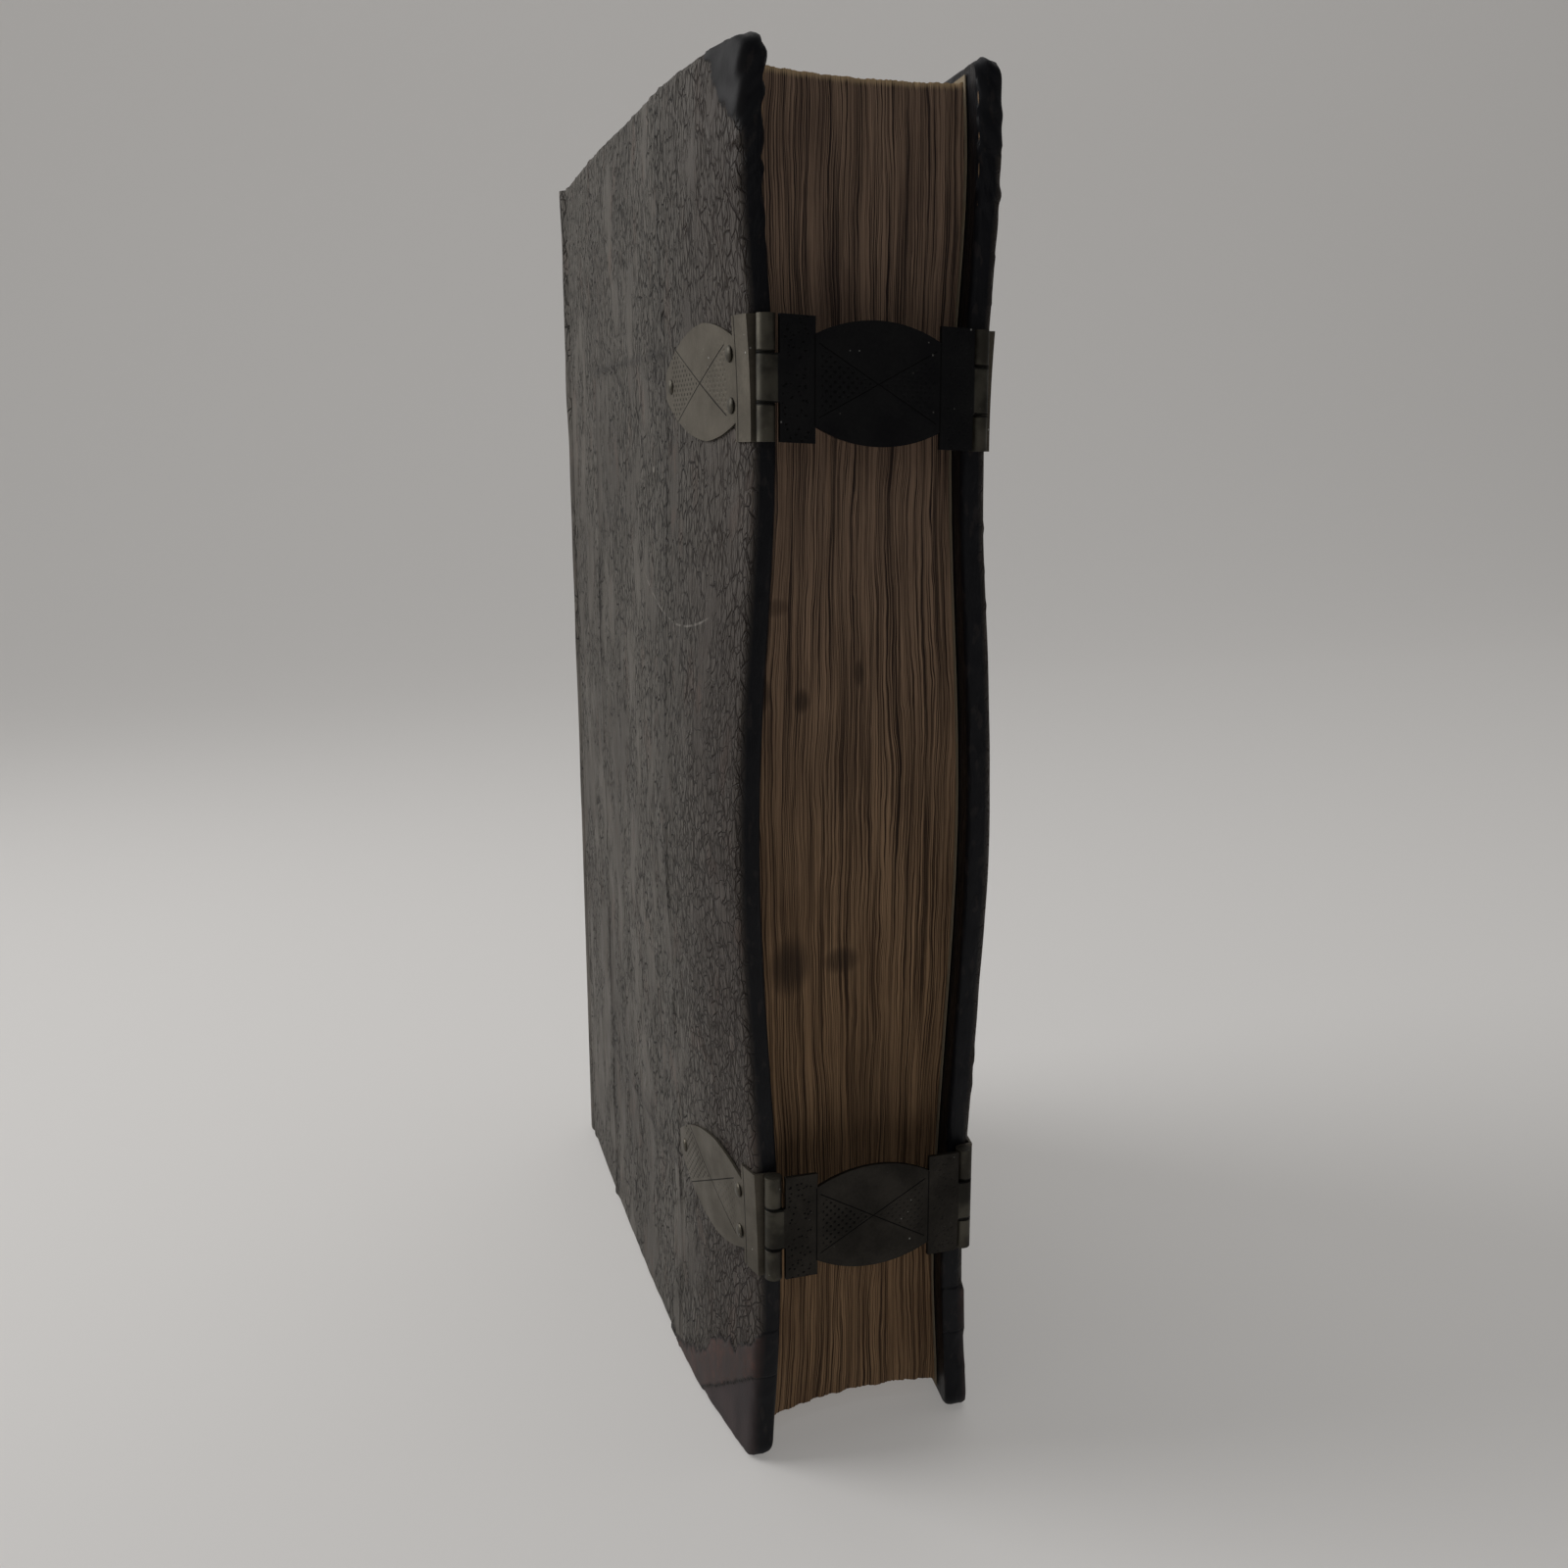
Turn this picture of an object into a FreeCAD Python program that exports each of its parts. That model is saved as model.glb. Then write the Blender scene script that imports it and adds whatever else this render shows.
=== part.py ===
# Antique folio bound in leather over boards, standing on its tail with two metal clasps.
# Millimetres. X runs through the book's thickness (front cover at -X), Y from the fore-edge
# back to the spine, Z up from the tail edges that the book stands on.
import FreeCAD, Part
import math
import os
import re
import Sketcher

Vector = FreeCAD.Vector
doc = FreeCAD.newDocument("AntiqueBook")

# Driving dimensions
SIZES = {
    "board_height": 400.0,
    "board_width": 240.0,
    "back_cover_trim": 4.0,
    "book_thickness": 72.0,
    "board_core": 5.6,
    "cover_leather": 1.2,
    "turn_in": 0.5,
    "turn_in_width": 18.0,
    "corner_radius": 5.5,
    "edge_rounding": 2.4,
    "cup_depth": 3.6,
    "fore_cup": 8.0,
    "head_pinch": 1.8,
    "middle_bulge": 3.0,
    "tail_pinch": 2.2,
    "head_flare": 0.8,
    "head_square": 4.7,
    "tail_square": 5.0,
    "fore_square": 11.0,
    "fore_edge_hollow": 4.5,
    "flyleaf": 0.35,
    "flyleaf_overhang": 1.5,
    "paper_clearance": 0.3,
    "joint_gap": 0.6,
    "spine_step": 0.2,
    "spine_side": 6.0,
    "spine_round": 21.0,
    "shoulder_radius": 9.0,
    "spine_leather": 1.4,
    "cap_setback": 0.8,
    "band_count": 5,
    "band_width": 9.0,
    "band_height": 2.5,
    "endband_radius": 2.4,
    "clasp_centre": 316.7,
    "low_clasp_centre": 78.4,
    "clasp_drop": 2.6,
    "clasp_height": 32.0,
    "clasp_plate": 1.2,
    "clasp_end": 10.0,
    "clasp_neck": 23.2,
    "oval_height": 32.2,
    "knuckle_radius": 2.5,
    "knuckle_length": 12.4,
    "knuckle_gap": 0.2,
    "plate_gap": 0.4,
    "barrel_clearance": 0.3,
    "hinge_inset": 4.9,
    "catch_inset": 5.1,
    "low_clasp_shift": 1.1,
    "hinge_pin": 1.0,
    "hinge_running": 0.05,
    "catch_pin": 1.1,
    "hook_clearance": 0.1,
    "plate_thickness": 0.8,
    "plate_end": 7.5,
    "plate_neck": 22.0,
    "plate_belly": 31.2,
    "plate_belly_at": 27.0,
    "plate_length": 62.5,
    "plate_tip": 7.0,
    "rivet_head": 2.2,
    "rivet_dome": 0.9,
    "rivet_shank": 0.9,
    "rivet_depth": 4.0,
    "rivet_back": 10.0,
    "rivet_spread": 13.2,
    "rivet_tip": 5.2,
}

sheet = doc.addObject("Spreadsheet::Sheet", "Sizes")
for row, (alias, number) in enumerate(SIZES.items(), start=1):
    sheet.set("A%d" % row, alias)
    sheet.set("B%d" % row, str(number))
    sheet.setAlias("B%d" % row, alias)
doc.recompute()


def size(expression):
    """Value in millimetres of an expression in the driving dimensions."""
    return float(sheet.evalExpression(expression))


def in_sheet(expression):
    """The same expression with each size looked up in the sheet."""
    return re.sub(r"[a-z_]+", lambda word: "Sizes." + word[0] if word[0] in SIZES else word[0], expression)


HEIGHT = size("board_height")
WIDTH = size("board_width")
HALF = size("book_thickness / 2")
COVER = size("cover_leather + board_core + turn_in")
CORE_FROM = size("cover_leather")
CORE_TO = size("cover_leather + board_core")
KNUCKLE = size("knuckle_radius")
BARREL_OUT = size("knuckle_radius + barrel_clearance")
SPINE_HALF = HALF - size("spine_step")
SPINE_START = WIDTH + size("joint_gap")
SPINE_BACK = SPINE_START + size("spine_side + spine_round")

# The depth runs from the front of the clasp barrels to the crown of the raised bands
FRONT_REACH = BARREL_OUT + KNUCKLE
DEPTH_BACK = SPINE_BACK + size("band_height")
FORE_Y = (FRONT_REACH - DEPTH_BACK) / 2
FAR = 2 * HALF

LABELS = []


def in_frame(shape):
    """Move a shape drawn from the front cover's fore-edge to the book's own frame."""
    shape.translate(Vector(0, FORE_Y, 0))
    return shape


def make_node(label, shape):
    node = doc.addObject("Part::Feature", label)
    node.Label = label
    node.Shape = in_frame(shape)
    LABELS.append(label)
    return node


# Warped covers

def pinch(z_stations):
    """How far the fore-edge leans towards the middle of the book at each height station."""
    flare = size("(clasp_centre + board_height) / 2")
    heights = [0, size("low_clasp_centre"), HEIGHT / 2, size("clasp_centre"), flare, HEIGHT]
    leans = [0, size("tail_pinch"), -size("middle_bulge"), size("head_pinch"), -size("head_flare"), 0]
    curve = Part.BSplineCurve()
    curve.interpolate([Vector(z, lean, 0) for z, lean in zip(heights, leans)])
    first, last = curve.FirstParameter, curve.LastParameter
    found = []
    for z in z_stations:
        inside = min(max(z, 0), HEIGHT)
        low, high = first, last
        for _ in range(50):
            middle = (low + high) / 2
            if curve.value(middle).x < inside:
                low = middle
            else:
                high = middle
        found.append(curve.value(low).y)
    return found


Y_STATIONS = [WIDTH * part for part in (-0.06, 0.0, 0.06, 0.12, 0.25, 0.4, 0.6, 0.8, 1.0, 1.05)]
Z_STATIONS = [HEIGHT * part for part in
              (-0.02, 0.0, 0.1, 0.2, 0.3, 0.4, 0.5, 0.6, 0.7, 0.8, 0.88, 0.94, 1.0, 1.02)]


def lean_at(y, lean):
    """Offset towards the middle of the book: the cup bows out, the fore-edge lean fades to the spine."""
    across = y / WIDTH
    depth = size("cup_depth") + size("fore_cup") * (1 - across) ** 3
    cup = 4 * depth * across * (1 - across)
    return lean * (1 - across) ** 2 - cup


def cover_x(side, y, z):
    """X of the outer leather face of the cover on one side (-1 front, 1 back)."""
    return side * (HALF - lean_at(y, pinch([z])[0]))


LEANS = pinch(Z_STATIONS)


def warped_face(side):
    grid = [[Vector(side * (HALF - lean_at(y, lean)), y, z) for z, lean in zip(Z_STATIONS, LEANS)]
            for y in Y_STATIONS]
    surface = Part.BSplineSurface()
    surface.interpolate(grid)
    return surface.toShape()


FACES = {-1: warped_face(-1), 1: warped_face(1)}


def layer(side, start, end):
    """Warped slab between two depths below the outer leather face."""
    face = FACES[side].copy()
    face.translate(Vector(-side * start, 0, 0))
    return face.extrude(Vector(-side * (end - start), 0, 0))


def through_x(edges):
    """Prism that runs through the whole thickness over an outline in the YZ plane."""
    flat = Part.Face(Part.Wire(edges))
    flat.translate(Vector(-FAR, 0, 0))
    return flat.extrude(Vector(2 * FAR, 0, 0))


def cover_outline(fore_y, inset, corner):
    """Fore-edge corners rounded, square at the joint."""
    low, high = inset, HEIGHT - inset
    front, back = fore_y + inset, WIDTH
    bend = corner * (1 - math.sqrt(0.5))
    a = Vector(0, back, low)
    b = Vector(0, front + corner, low)
    c = Vector(0, front, low + corner)
    d = Vector(0, front, high - corner)
    e = Vector(0, front + corner, high)
    f = Vector(0, back, high)
    return [
        Part.makeLine(a, b),
        Part.Arc(b, Vector(0, front + bend, low + bend), c).toShape(),
        Part.makeLine(c, d),
        Part.Arc(d, Vector(0, front + bend, high - bend), e).toShape(),
        Part.makeLine(e, f),
        Part.makeLine(f, a),
    ]


def fore_edge_y(side):
    return 0 if side < 0 else size("back_cover_trim")


def rounded_cover(side):
    """Whole cover, leather face to inner face, with its three free edges rounded over."""
    edge_to_edge = through_x(cover_outline(fore_edge_y(side), 0, size("corner_radius")))
    blank = layer(side, 0, COVER).common(edge_to_edge)
    rims = []
    for edge in blank.Edges:
        box = edge.BoundBox
        at_joint = box.YMin > WIDTH - 1
        runs_across = box.YLength < 1 and box.ZLength < 1
        if not at_joint and not runs_across:
            rims.append(edge)
    # The leather still covers the board's corner at the inner face
    most = CORE_FROM + size("turn_in") + math.sqrt(2 * CORE_FROM * size("turn_in"))
    return blank.makeFillet(min(size("edge_rounding"), most), rims)


def rivet_spots(side, centre):
    """Y and Z of the three rivets of a plate."""
    fore = fore_edge_y(side)
    spread = size("rivet_spread / 2")
    return [
        (fore + size("rivet_back"), centre + spread),
        (fore + size("rivet_back"), centre - spread),
        (fore + size("plate_length - rivet_tip"), centre),
    ]


def plate_centre(side, name):
    centre = size("clasp_centre" if name == "top" else "low_clasp_centre")
    return centre if side < 0 else centre - size("clasp_drop")


def rivet_bores(side):
    """Shank holes of both plates of one cover."""
    bores = []
    for name in ("top", "bottom"):
        for y, z in rivet_spots(side, plate_centre(side, name)):
            start = Vector(cover_x(side, y, z) + side * KNUCKLE, y, z)
            reach = size("rivet_depth") + KNUCKLE
            bores.append(Part.makeCylinder(size("rivet_shank"), reach, start, Vector(-side, 0, 0)))
    return bores


def make_cover(side, prefix):
    fore = fore_edge_y(side)
    corner = size("corner_radius")
    skin = CORE_FROM
    bores = rivet_bores(side)
    core = layer(side, CORE_FROM, CORE_TO).common(through_x(cover_outline(fore, skin, corner - skin)))
    make_node(prefix + "_board", core.cut(bores))
    window = through_x(cover_outline(fore, size("turn_in_width"), size("corner_radius / 4")))
    pastedown = layer(side, CORE_TO, COVER).common(window)
    make_node(prefix + "_pastedown", pastedown)
    opening = layer(side, CORE_TO, COVER + 1).common(window)
    leather = rounded_cover(side).cut([core, opening] + bores)
    make_node(prefix + "_leather", leather)


# Book block

# Three tangent arcs make the rounded back: a shoulder, the wide back, a shoulder
SHOULDER = size("shoulder_radius")
ROUND = size("spine_round")
BACK_RADIUS = ((SPINE_HALF - SHOULDER) ** 2 + ROUND ** 2 - SHOULDER ** 2) / (2 * (ROUND - SHOULDER))
BACK_CENTRE = Vector(0, SPINE_BACK - BACK_RADIUS, 0)
SHOULDER_CENTRE = Vector(SPINE_HALF - SHOULDER, SPINE_START + size("spine_side"), 0)
SHOULDER_AIM = (SHOULDER_CENTRE - BACK_CENTRE).normalize()


def mirrored(point):
    return Vector(-point.x, point.y, point.z)


def spine_plan(inset, front, crown=0.0):
    """Plan of the rounded back, set in by inset; crown swells the back arc outward."""
    small = SHOULDER - inset
    large = BACK_RADIUS - inset
    half = SPINE_HALF - inset
    side_end = Vector(half, SHOULDER_CENTRE.y, 0)
    turn = SHOULDER_CENTRE + SHOULDER_AIM * small
    bisector = (Vector(1, 0, 0) + SHOULDER_AIM).normalize()
    on_shoulder = SHOULDER_CENTRE + bisector * small
    crest = Vector(0, BACK_CENTRE.y + large + crown, 0)
    corner = Vector(half, front, 0)
    return [
        Part.makeLine(corner, side_end),
        Part.Arc(side_end, on_shoulder, turn).toShape(),
        Part.Arc(turn, crest, mirrored(turn)).toShape(),
        Part.Arc(mirrored(turn), mirrored(on_shoulder), mirrored(side_end)).toShape(),
        Part.makeLine(mirrored(side_end), mirrored(corner)),
        Part.makeLine(mirrored(corner), corner),
    ]


def upright(edges, low, high):
    plan = Part.Face(Part.Wire(edges))
    plan.translate(Vector(0, 0, low))
    return plan.extrude(Vector(0, 0, high - low))


def band_span(index):
    middle = HEIGHT * (index + 1) / (int(size("band_count")) + 1)
    return middle - size("band_width / 2"), middle + size("band_width / 2")


BANDS = [band_span(index) for index in range(int(size("band_count")))]
BLOCK_LOW = size("tail_square")
BLOCK_HIGH = HEIGHT - size("head_square")


def make_block():
    paper_from = COVER + size("paper_clearance")
    leaf_to = paper_from + size("flyleaf")
    left, right = size("fore_square"), size("back_cover_trim + fore_square")
    hollow = (left + right) / 2 + size("fore_edge_hollow")
    front_left, front_right = Vector(-HALF, left, 0), Vector(HALF, right, 0)
    back_left, back_right = Vector(-HALF, SPINE_START, 0), Vector(HALF, SPINE_START, 0)
    plan = [
        Part.Arc(front_left, Vector(0, hollow, 0), front_right).toShape(),
        Part.makeLine(front_right, back_right),
        Part.makeLine(back_right, back_left),
        Part.makeLine(back_left, front_left),
    ]
    leaves = upright(plan, BLOCK_LOW, BLOCK_HIGH)
    leaves = leaves.common(layer(-1, leaf_to, FAR)).common(layer(1, leaf_to, FAR))
    back = upright(spine_plan(size("spine_leather"), SPINE_START), BLOCK_LOW, BLOCK_HIGH)
    make_node("text_block", leaves.fuse(back).removeSplitter())
    for side, label in ((-1, "front_flyleaf"), (1, "rear_flyleaf")):
        over = size("flyleaf_overhang")
        fore = fore_edge_y(side) + size("fore_square") - over
        sheet_box = Part.makeBox(2 * FAR, WIDTH - fore, BLOCK_HIGH - BLOCK_LOW + 2 * over,
                                 Vector(-FAR, fore, BLOCK_LOW - over))
        make_node(label, layer(side, paper_from, leaf_to).common(sheet_box))


def make_spine():
    """Leather over the back, moulded over the raised bands that the sections are sewn on."""
    low, high = size("cap_setback"), HEIGHT - size("cap_setback")
    thickness = size("spine_leather")
    crown = size("band_height")
    outer = upright(spine_plan(0, SPINE_START), low, high)
    inner = upright(spine_plan(thickness, SPINE_START), low, high)
    ridges = []
    hollows = []
    for index, (bottom, top) in enumerate(BANDS):
        ridges.append(upright(spine_plan(0, SPINE_START, crown), bottom - thickness, top + thickness))
        cord = upright(spine_plan(thickness, SPINE_START, crown), bottom, top)
        hollows.append(cord)
        make_node("sewing_band_%d" % (index + 1), cord.cut(inner))
    leather = outer.fuse(ridges).removeSplitter().cut([inner] + hollows)
    make_node("spine_leather", leather)


def make_endband(label, seat, direction):
    """Rolled band round the back of the block, between its end and the leather cap."""
    radius = size("endband_radius")
    ring = doc.addObject("Part::Torus", label + "_roll")
    half_angle = math.degrees(math.atan2(SHOULDER_AIM.x, SHOULDER_AIM.y))
    ring.setExpression("Radius2", "Sizes.endband_radius")
    ring.Radius1 = BACK_RADIUS - size("spine_leather") - radius
    ring.Angle3 = 2 * half_angle
    ring.Label = label
    middle = Vector(0, BACK_CENTRE.y + FORE_Y, seat + direction * radius)
    ring.Placement = FreeCAD.Placement(middle, FreeCAD.Rotation(Vector(0, 0, 1), 90 - half_angle))
    LABELS.append(label)


# Metal furniture

def axis_spot(side, name):
    """Axis of the anchor pin (front) or the catch pin (back), at the clasp's middle.

    The lower clasp lies a little nearer to the back cover.
    """
    inset = size("hinge_inset" if side < 0 else "catch_inset")
    if name == "bottom":
        inset -= side * size("low_clasp_shift")
    return Vector(side * (HALF - inset), fore_edge_y(side) - BARREL_OUT, plate_centre(side, name))


# How far an oval's arc has risen half-way along it
OVAL_FULLNESS = 0.72


def plate_outline(side, centre):
    """Rectangular end at the fore-edge, a neck, then an oval drawn out to a blunt tip."""
    fore = fore_edge_y(side)
    tall = size("clasp_height / 2")
    neck = size("plate_neck / 2")
    belly = size("plate_belly / 2")
    tip = size("plate_tip / 2")
    front, end = fore - size("plate_thickness"), fore + size("plate_end")
    belly_y, tip_y = fore + size("plate_belly_at"), fore + size("plate_length")

    def at(y, z):
        return Vector(0, y, centre + z)

    def oval_side(y, z):
        """Arc from the oval's widest place to an end of it."""
        crest = at((y + belly_y) / 2, z + (belly - z) * OVAL_FULLNESS)
        return Part.Arc(at(y, z), crest, at(belly_y, belly)).toShape()

    upper = [
        Part.makeLine(at(front, tall), at(end, tall)),
        Part.makeLine(at(end, tall), at(end, neck)),
        oval_side(end, neck),
        oval_side(tip_y, tip),
    ]
    lower = [edge.mirror(at(0, 0), Vector(0, 0, 1)) for edge in upper]
    ends = [
        Part.makeLine(at(tip_y, tip), at(tip_y, -tip)),
        Part.makeLine(at(front, tall), at(front, -tall)),
    ]
    return Part.__sortEdges__(upper + lower + ends)


def knuckle_spans(centre):
    """Heights of the two outer knuckles of a plate; the clasp's own knuckle fits between them."""
    tall = size("clasp_height / 2")
    middle = size("knuckle_length / 2 + knuckle_gap")
    return [(centre + middle, centre + tall), (centre - tall, centre - middle)]


def make_plate(side, name, label, pin_size):
    """Plate on the cover, turned round its fore-edge and rolled into two knuckles."""
    axis = axis_spot(side, name)
    thickness = size("plate_thickness")
    fore = fore_edge_y(side)
    tall = size("clasp_height")
    flat = layer(side, -thickness, 0).common(through_x(plate_outline(side, axis.z)))
    turned = layer(side, -thickness, FAR / 2)
    turned_box = Part.makeBox(HALF, thickness, tall, Vector(0, fore - thickness, axis.z - tall / 2))
    turned_box.translate(Vector(axis.x if side > 0 else axis.x - HALF, 0, 0))
    turned = turned.common(turned_box)
    rolls = []
    for low, high in knuckle_spans(axis.z):
        rolls.append(Part.makeCylinder(KNUCKLE, high - low, Vector(axis.x, axis.y, low)))
    plate = flat.fuse([turned] + rolls).removeSplitter()
    clear = size("knuckle_length + 2 * knuckle_gap")
    room_foot = Vector(axis.x, axis.y, axis.z - clear / 2)
    room = Part.makeCylinder(KNUCKLE + size("barrel_clearance"), clear, room_foot)
    bore = Part.makeCylinder(size(pin_size), tall, Vector(axis.x, axis.y, axis.z - tall / 2))
    shanks = [bore, room]
    for y, z in rivet_spots(side, axis.z):
        start = Vector(cover_x(side, y, z) + side * KNUCKLE, y, z)
        shanks.append(Part.makeCylinder(size("rivet_shank"), 2 * KNUCKLE, start, Vector(-side, 0, 0)))
    return make_node(label, plate.cut(shanks))


def make_pin(side, name, label, pin_size):
    axis = axis_spot(side, name)
    pin = doc.addObject("Part::Cylinder", label)
    pin.setExpression("Radius", "Sizes." + pin_size)
    pin.setExpression("Height", "Sizes.clasp_height")
    foot = Vector(axis.x, axis.y + FORE_Y, axis.z - size("clasp_height / 2"))
    pin.Placement = FreeCAD.Placement(foot, FreeCAD.Rotation())
    pin.Label = label
    LABELS.append(label)


def make_rivet(side, spot, plate, label):
    """Domed head on the plate with its shank through plate and leather into the board."""
    y, z = spot
    outward = FreeCAD.Rotation(Vector(0, 0, 1), Vector(side, 0, 0))
    seat = Vector(cover_x(side, y, z) + side * size("plate_thickness"), y + FORE_Y, z)
    head = doc.addObject("Part::Ellipsoid", label + "_head")
    head.setExpression("Radius1", "Sizes.rivet_dome")
    head.setExpression("Radius2", "Sizes.rivet_head")
    head.setExpression("Radius3", "Sizes.rivet_head")
    head.Angle1 = 0
    head.Placement = FreeCAD.Placement(seat, outward)
    shank = doc.addObject("Part::Cylinder", label + "_shank")
    shank.setExpression("Radius", "Sizes.rivet_shank")
    shank.setExpression("Height", "Sizes.rivet_depth + Sizes.plate_thickness")
    foot = seat - Vector(side, 0, 0) * size("rivet_depth + plate_thickness")
    shank.Placement = FreeCAD.Placement(foot, outward)
    whole = doc.addObject("Part::Fuse", label + "_blank")
    whole.Base = head
    whole.Tool = shank
    seated = doc.addObject("Part::Cut", label)
    seated.Base = whole
    seated.Tool = plate
    seated.Label = label
    LABELS.append(label)


# Clasps

def body_plane(body, role):
    return next(plane for plane in body.Origin.OriginFeatures if plane.Role == role)


def make_sketch(body, name, role, offset=None):
    sketch = body.newObject("Sketcher::SketchObject", name)
    sketch.AttachmentSupport = (body_plane(body, role), "")
    sketch.MapMode = "FlatFace"
    if offset is not None:
        sketch.AttachmentOffset = offset
    return sketch


def outline(sketch, corners, swells=None):
    """Closed run through corners given as pairs of expressions; swells gives a side the rise of an arc."""
    swells = swells or {}
    points = [Vector(size(x), size(y), 0) for x, y in corners]
    count = len(points)
    for index, start in enumerate(points):
        end = points[(index + 1) % count]
        if index in swells:
            outward = Vector(end.y - start.y, start.x - end.x, 0).normalize()
            crest = (start + end) / 2 + outward * size(swells[index])
            sketch.addGeometry(Part.Arc(start, crest, end), False)
        else:
            sketch.addGeometry(Part.LineSegment(start, end), False)
    for index in range(count):
        sketch.addConstraint(Sketcher.Constraint("Coincident", index, 2, (index + 1) % count, 1))
    for index, (x, y) in enumerate(corners):
        pin_point(sketch, index, 1, x, y)
    for index, rise in swells.items():
        (x1, y1), (x2, y2) = corners[index], corners[(index + 1) % count]
        across = "hypot((%s) - (%s); (%s) - (%s)) / 2" % (x1, x2, y1, y2)
        radius = "((%s)^2 + (%s)^2) / (2 * (%s))" % (across, rise, rise)
        bound = sketch.addConstraint(Sketcher.Constraint("Radius", index, size(radius)))
        sketch.setExpression("Constraints[%d]" % bound, in_sheet(radius))


def pin_point(sketch, geometry, point, x, y):
    """Tie a sketch point to the sheet, on an axis where its coordinate is nought."""
    for kind, axis, expression in (("DistanceX", -2, x), ("DistanceY", -1, y)):
        if abs(size(expression)) < 1e-9:
            sketch.addConstraint(Sketcher.Constraint("PointOnObject", geometry, point, axis))
            continue
        number = sketch.addConstraint(Sketcher.Constraint(kind, -1, 1, geometry, point, size(expression)))
        sketch.setExpression("Constraints[%d]" % number, in_sheet(expression))


def circle(sketch, radius):
    """Circle about the sketch's origin."""
    number = sketch.addGeometry(Part.Circle(Vector(0, 0, 0), Vector(0, 0, 1), size(radius)), False)
    sketch.addConstraint(Sketcher.Constraint("Coincident", number, 3, -1, 1))
    bound = sketch.addConstraint(Sketcher.Constraint("Radius", number, size(radius)))
    sketch.setExpression("Constraints[%d]" % bound, in_sheet(radius))


def pad(body, sketch, name, length):
    feature = body.newObject("PartDesign::Pad", name)
    feature.Profile = sketch
    feature.SideType = "Symmetric"
    feature.setExpression("Length", in_sheet(length))
    doc.recompute()


def pocket(body, sketch, name, length):
    before = body.Shape.Volume
    feature = body.newObject("PartDesign::Pocket", name)
    feature.Profile = sketch
    feature.SideType = "Symmetric"
    feature.setExpression("Length", in_sheet(length))
    doc.recompute()
    assert body.Shape.Volume < before, name


# From the anchor pin to the catch pin along the clasp, and where its flat plate starts and stops
PIN_RUN = "hypot(book_thickness - hinge_inset - catch_inset; back_cover_trim)"
PLATE_START = "knuckle_radius + plate_gap"
PLATE_STOP = PIN_RUN + " - knuckle_radius - plate_gap"


def clasp_outline(sketch):
    """Two rectangular ends joined by an oval between two necks, sloping down to the catch."""
    left, right = PLATE_START + " + clasp_end", PLATE_STOP + " - clasp_end"
    tall, neck = "clasp_height / 2", "clasp_neck / 2"
    corners = [
        (PLATE_START, "-" + tall), (left, "-" + tall), (left, "-" + neck),
        (right, "-" + neck), (right, "-" + tall), (PLATE_STOP, "-" + tall),
        (PLATE_STOP, tall), (right, tall), (right, neck),
        (left, neck), (left, tall), (PLATE_START, tall),
    ]
    sloping = [(x, "%s - clasp_drop * (%s) / %s" % (y, x, PIN_RUN)) for x, y in corners]
    rise = "(oval_height - clasp_neck) / 2"
    outline(sketch, sloping, {2: rise, 8: rise})


def tongue_corners(reach):
    """Strip that joins the flat plate to a rolled end; reach is signed."""
    corners = [("0", "-knuckle_radius"), (reach, "-knuckle_radius"),
               (reach, "clasp_plate - knuckle_radius"), ("0", "clasp_plate - knuckle_radius")]
    return corners if size(reach) > 0 else corners[::-1]


def make_clasp(name):
    anchor = axis_spot(-1, name)
    catch = axis_spot(1, name)
    run = size(PIN_RUN)
    body = doc.addObject("PartDesign::Body", name + "_clasp")
    swing = math.degrees(math.atan2(catch.y - anchor.y, catch.x - anchor.x))
    overlap = "knuckle_radius + 2 * plate_gap"
    cut_length = "knuckle_length + 2 * knuckle_gap"

    # Flat plate, tangent to the front of the barrels
    forward = FreeCAD.Placement(Vector(0, 0, KNUCKLE - size("clasp_plate / 2")), FreeCAD.Rotation())
    plate = make_sketch(body, name + "_plate_outline", "XZ_Plane", forward)
    clasp_outline(plate)
    pad(body, plate, name + "_plate", "clasp_plate")

    # Knuckle on the anchor pin, with the tongue that joins it to the plate
    knuckle = make_sketch(body, name + "_knuckle_ring", "XY_Plane")
    circle(knuckle, "knuckle_radius")
    pad(body, knuckle, name + "_knuckle", "knuckle_length")
    tongue = make_sketch(body, name + "_tongue_section", "XY_Plane")
    outline(tongue, tongue_corners(overlap))
    pad(body, tongue, name + "_tongue", "knuckle_length")
    bore = make_sketch(body, name + "_bore_circle", "XY_Plane")
    circle(bore, "hinge_pin + hinge_running")
    pocket(body, bore, name + "_bore", cut_length)

    # Hook over the catch pin: half a ring with its open side towards the book
    drop = FreeCAD.Placement(Vector(run, 0, catch.z - anchor.z), FreeCAD.Rotation())
    hook = make_sketch(body, name + "_hook_ring", "XY_Plane", drop)
    circle(hook, "knuckle_radius")
    pad(body, hook, name + "_hook_blank", "knuckle_length")
    neck = make_sketch(body, name + "_hook_tongue", "XY_Plane", drop)
    outline(neck, tongue_corners("-(" + overlap + ")"))
    pad(body, neck, name + "_hook_neck", "knuckle_length")
    mouth = make_sketch(body, name + "_mouth_circle", "XY_Plane", drop)
    circle(mouth, "catch_pin + hook_clearance")
    pocket(body, mouth, name + "_mouth", cut_length)
    opening = make_sketch(body, name + "_mouth_opening", "XY_Plane", drop)
    side = "knuckle_radius + hook_clearance"
    outline(opening, [("-(" + side + ")", "0"), (side, "0"), (side, side), ("-(" + side + ")", side)])
    pocket(body, opening, name + "_mouth_cut", cut_length)

    spot = Vector(anchor.x, anchor.y + FORE_Y, anchor.z)
    body.Placement = FreeCAD.Placement(spot, FreeCAD.Rotation(Vector(0, 0, 1), swing))
    LABELS.append(body.Label)


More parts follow.
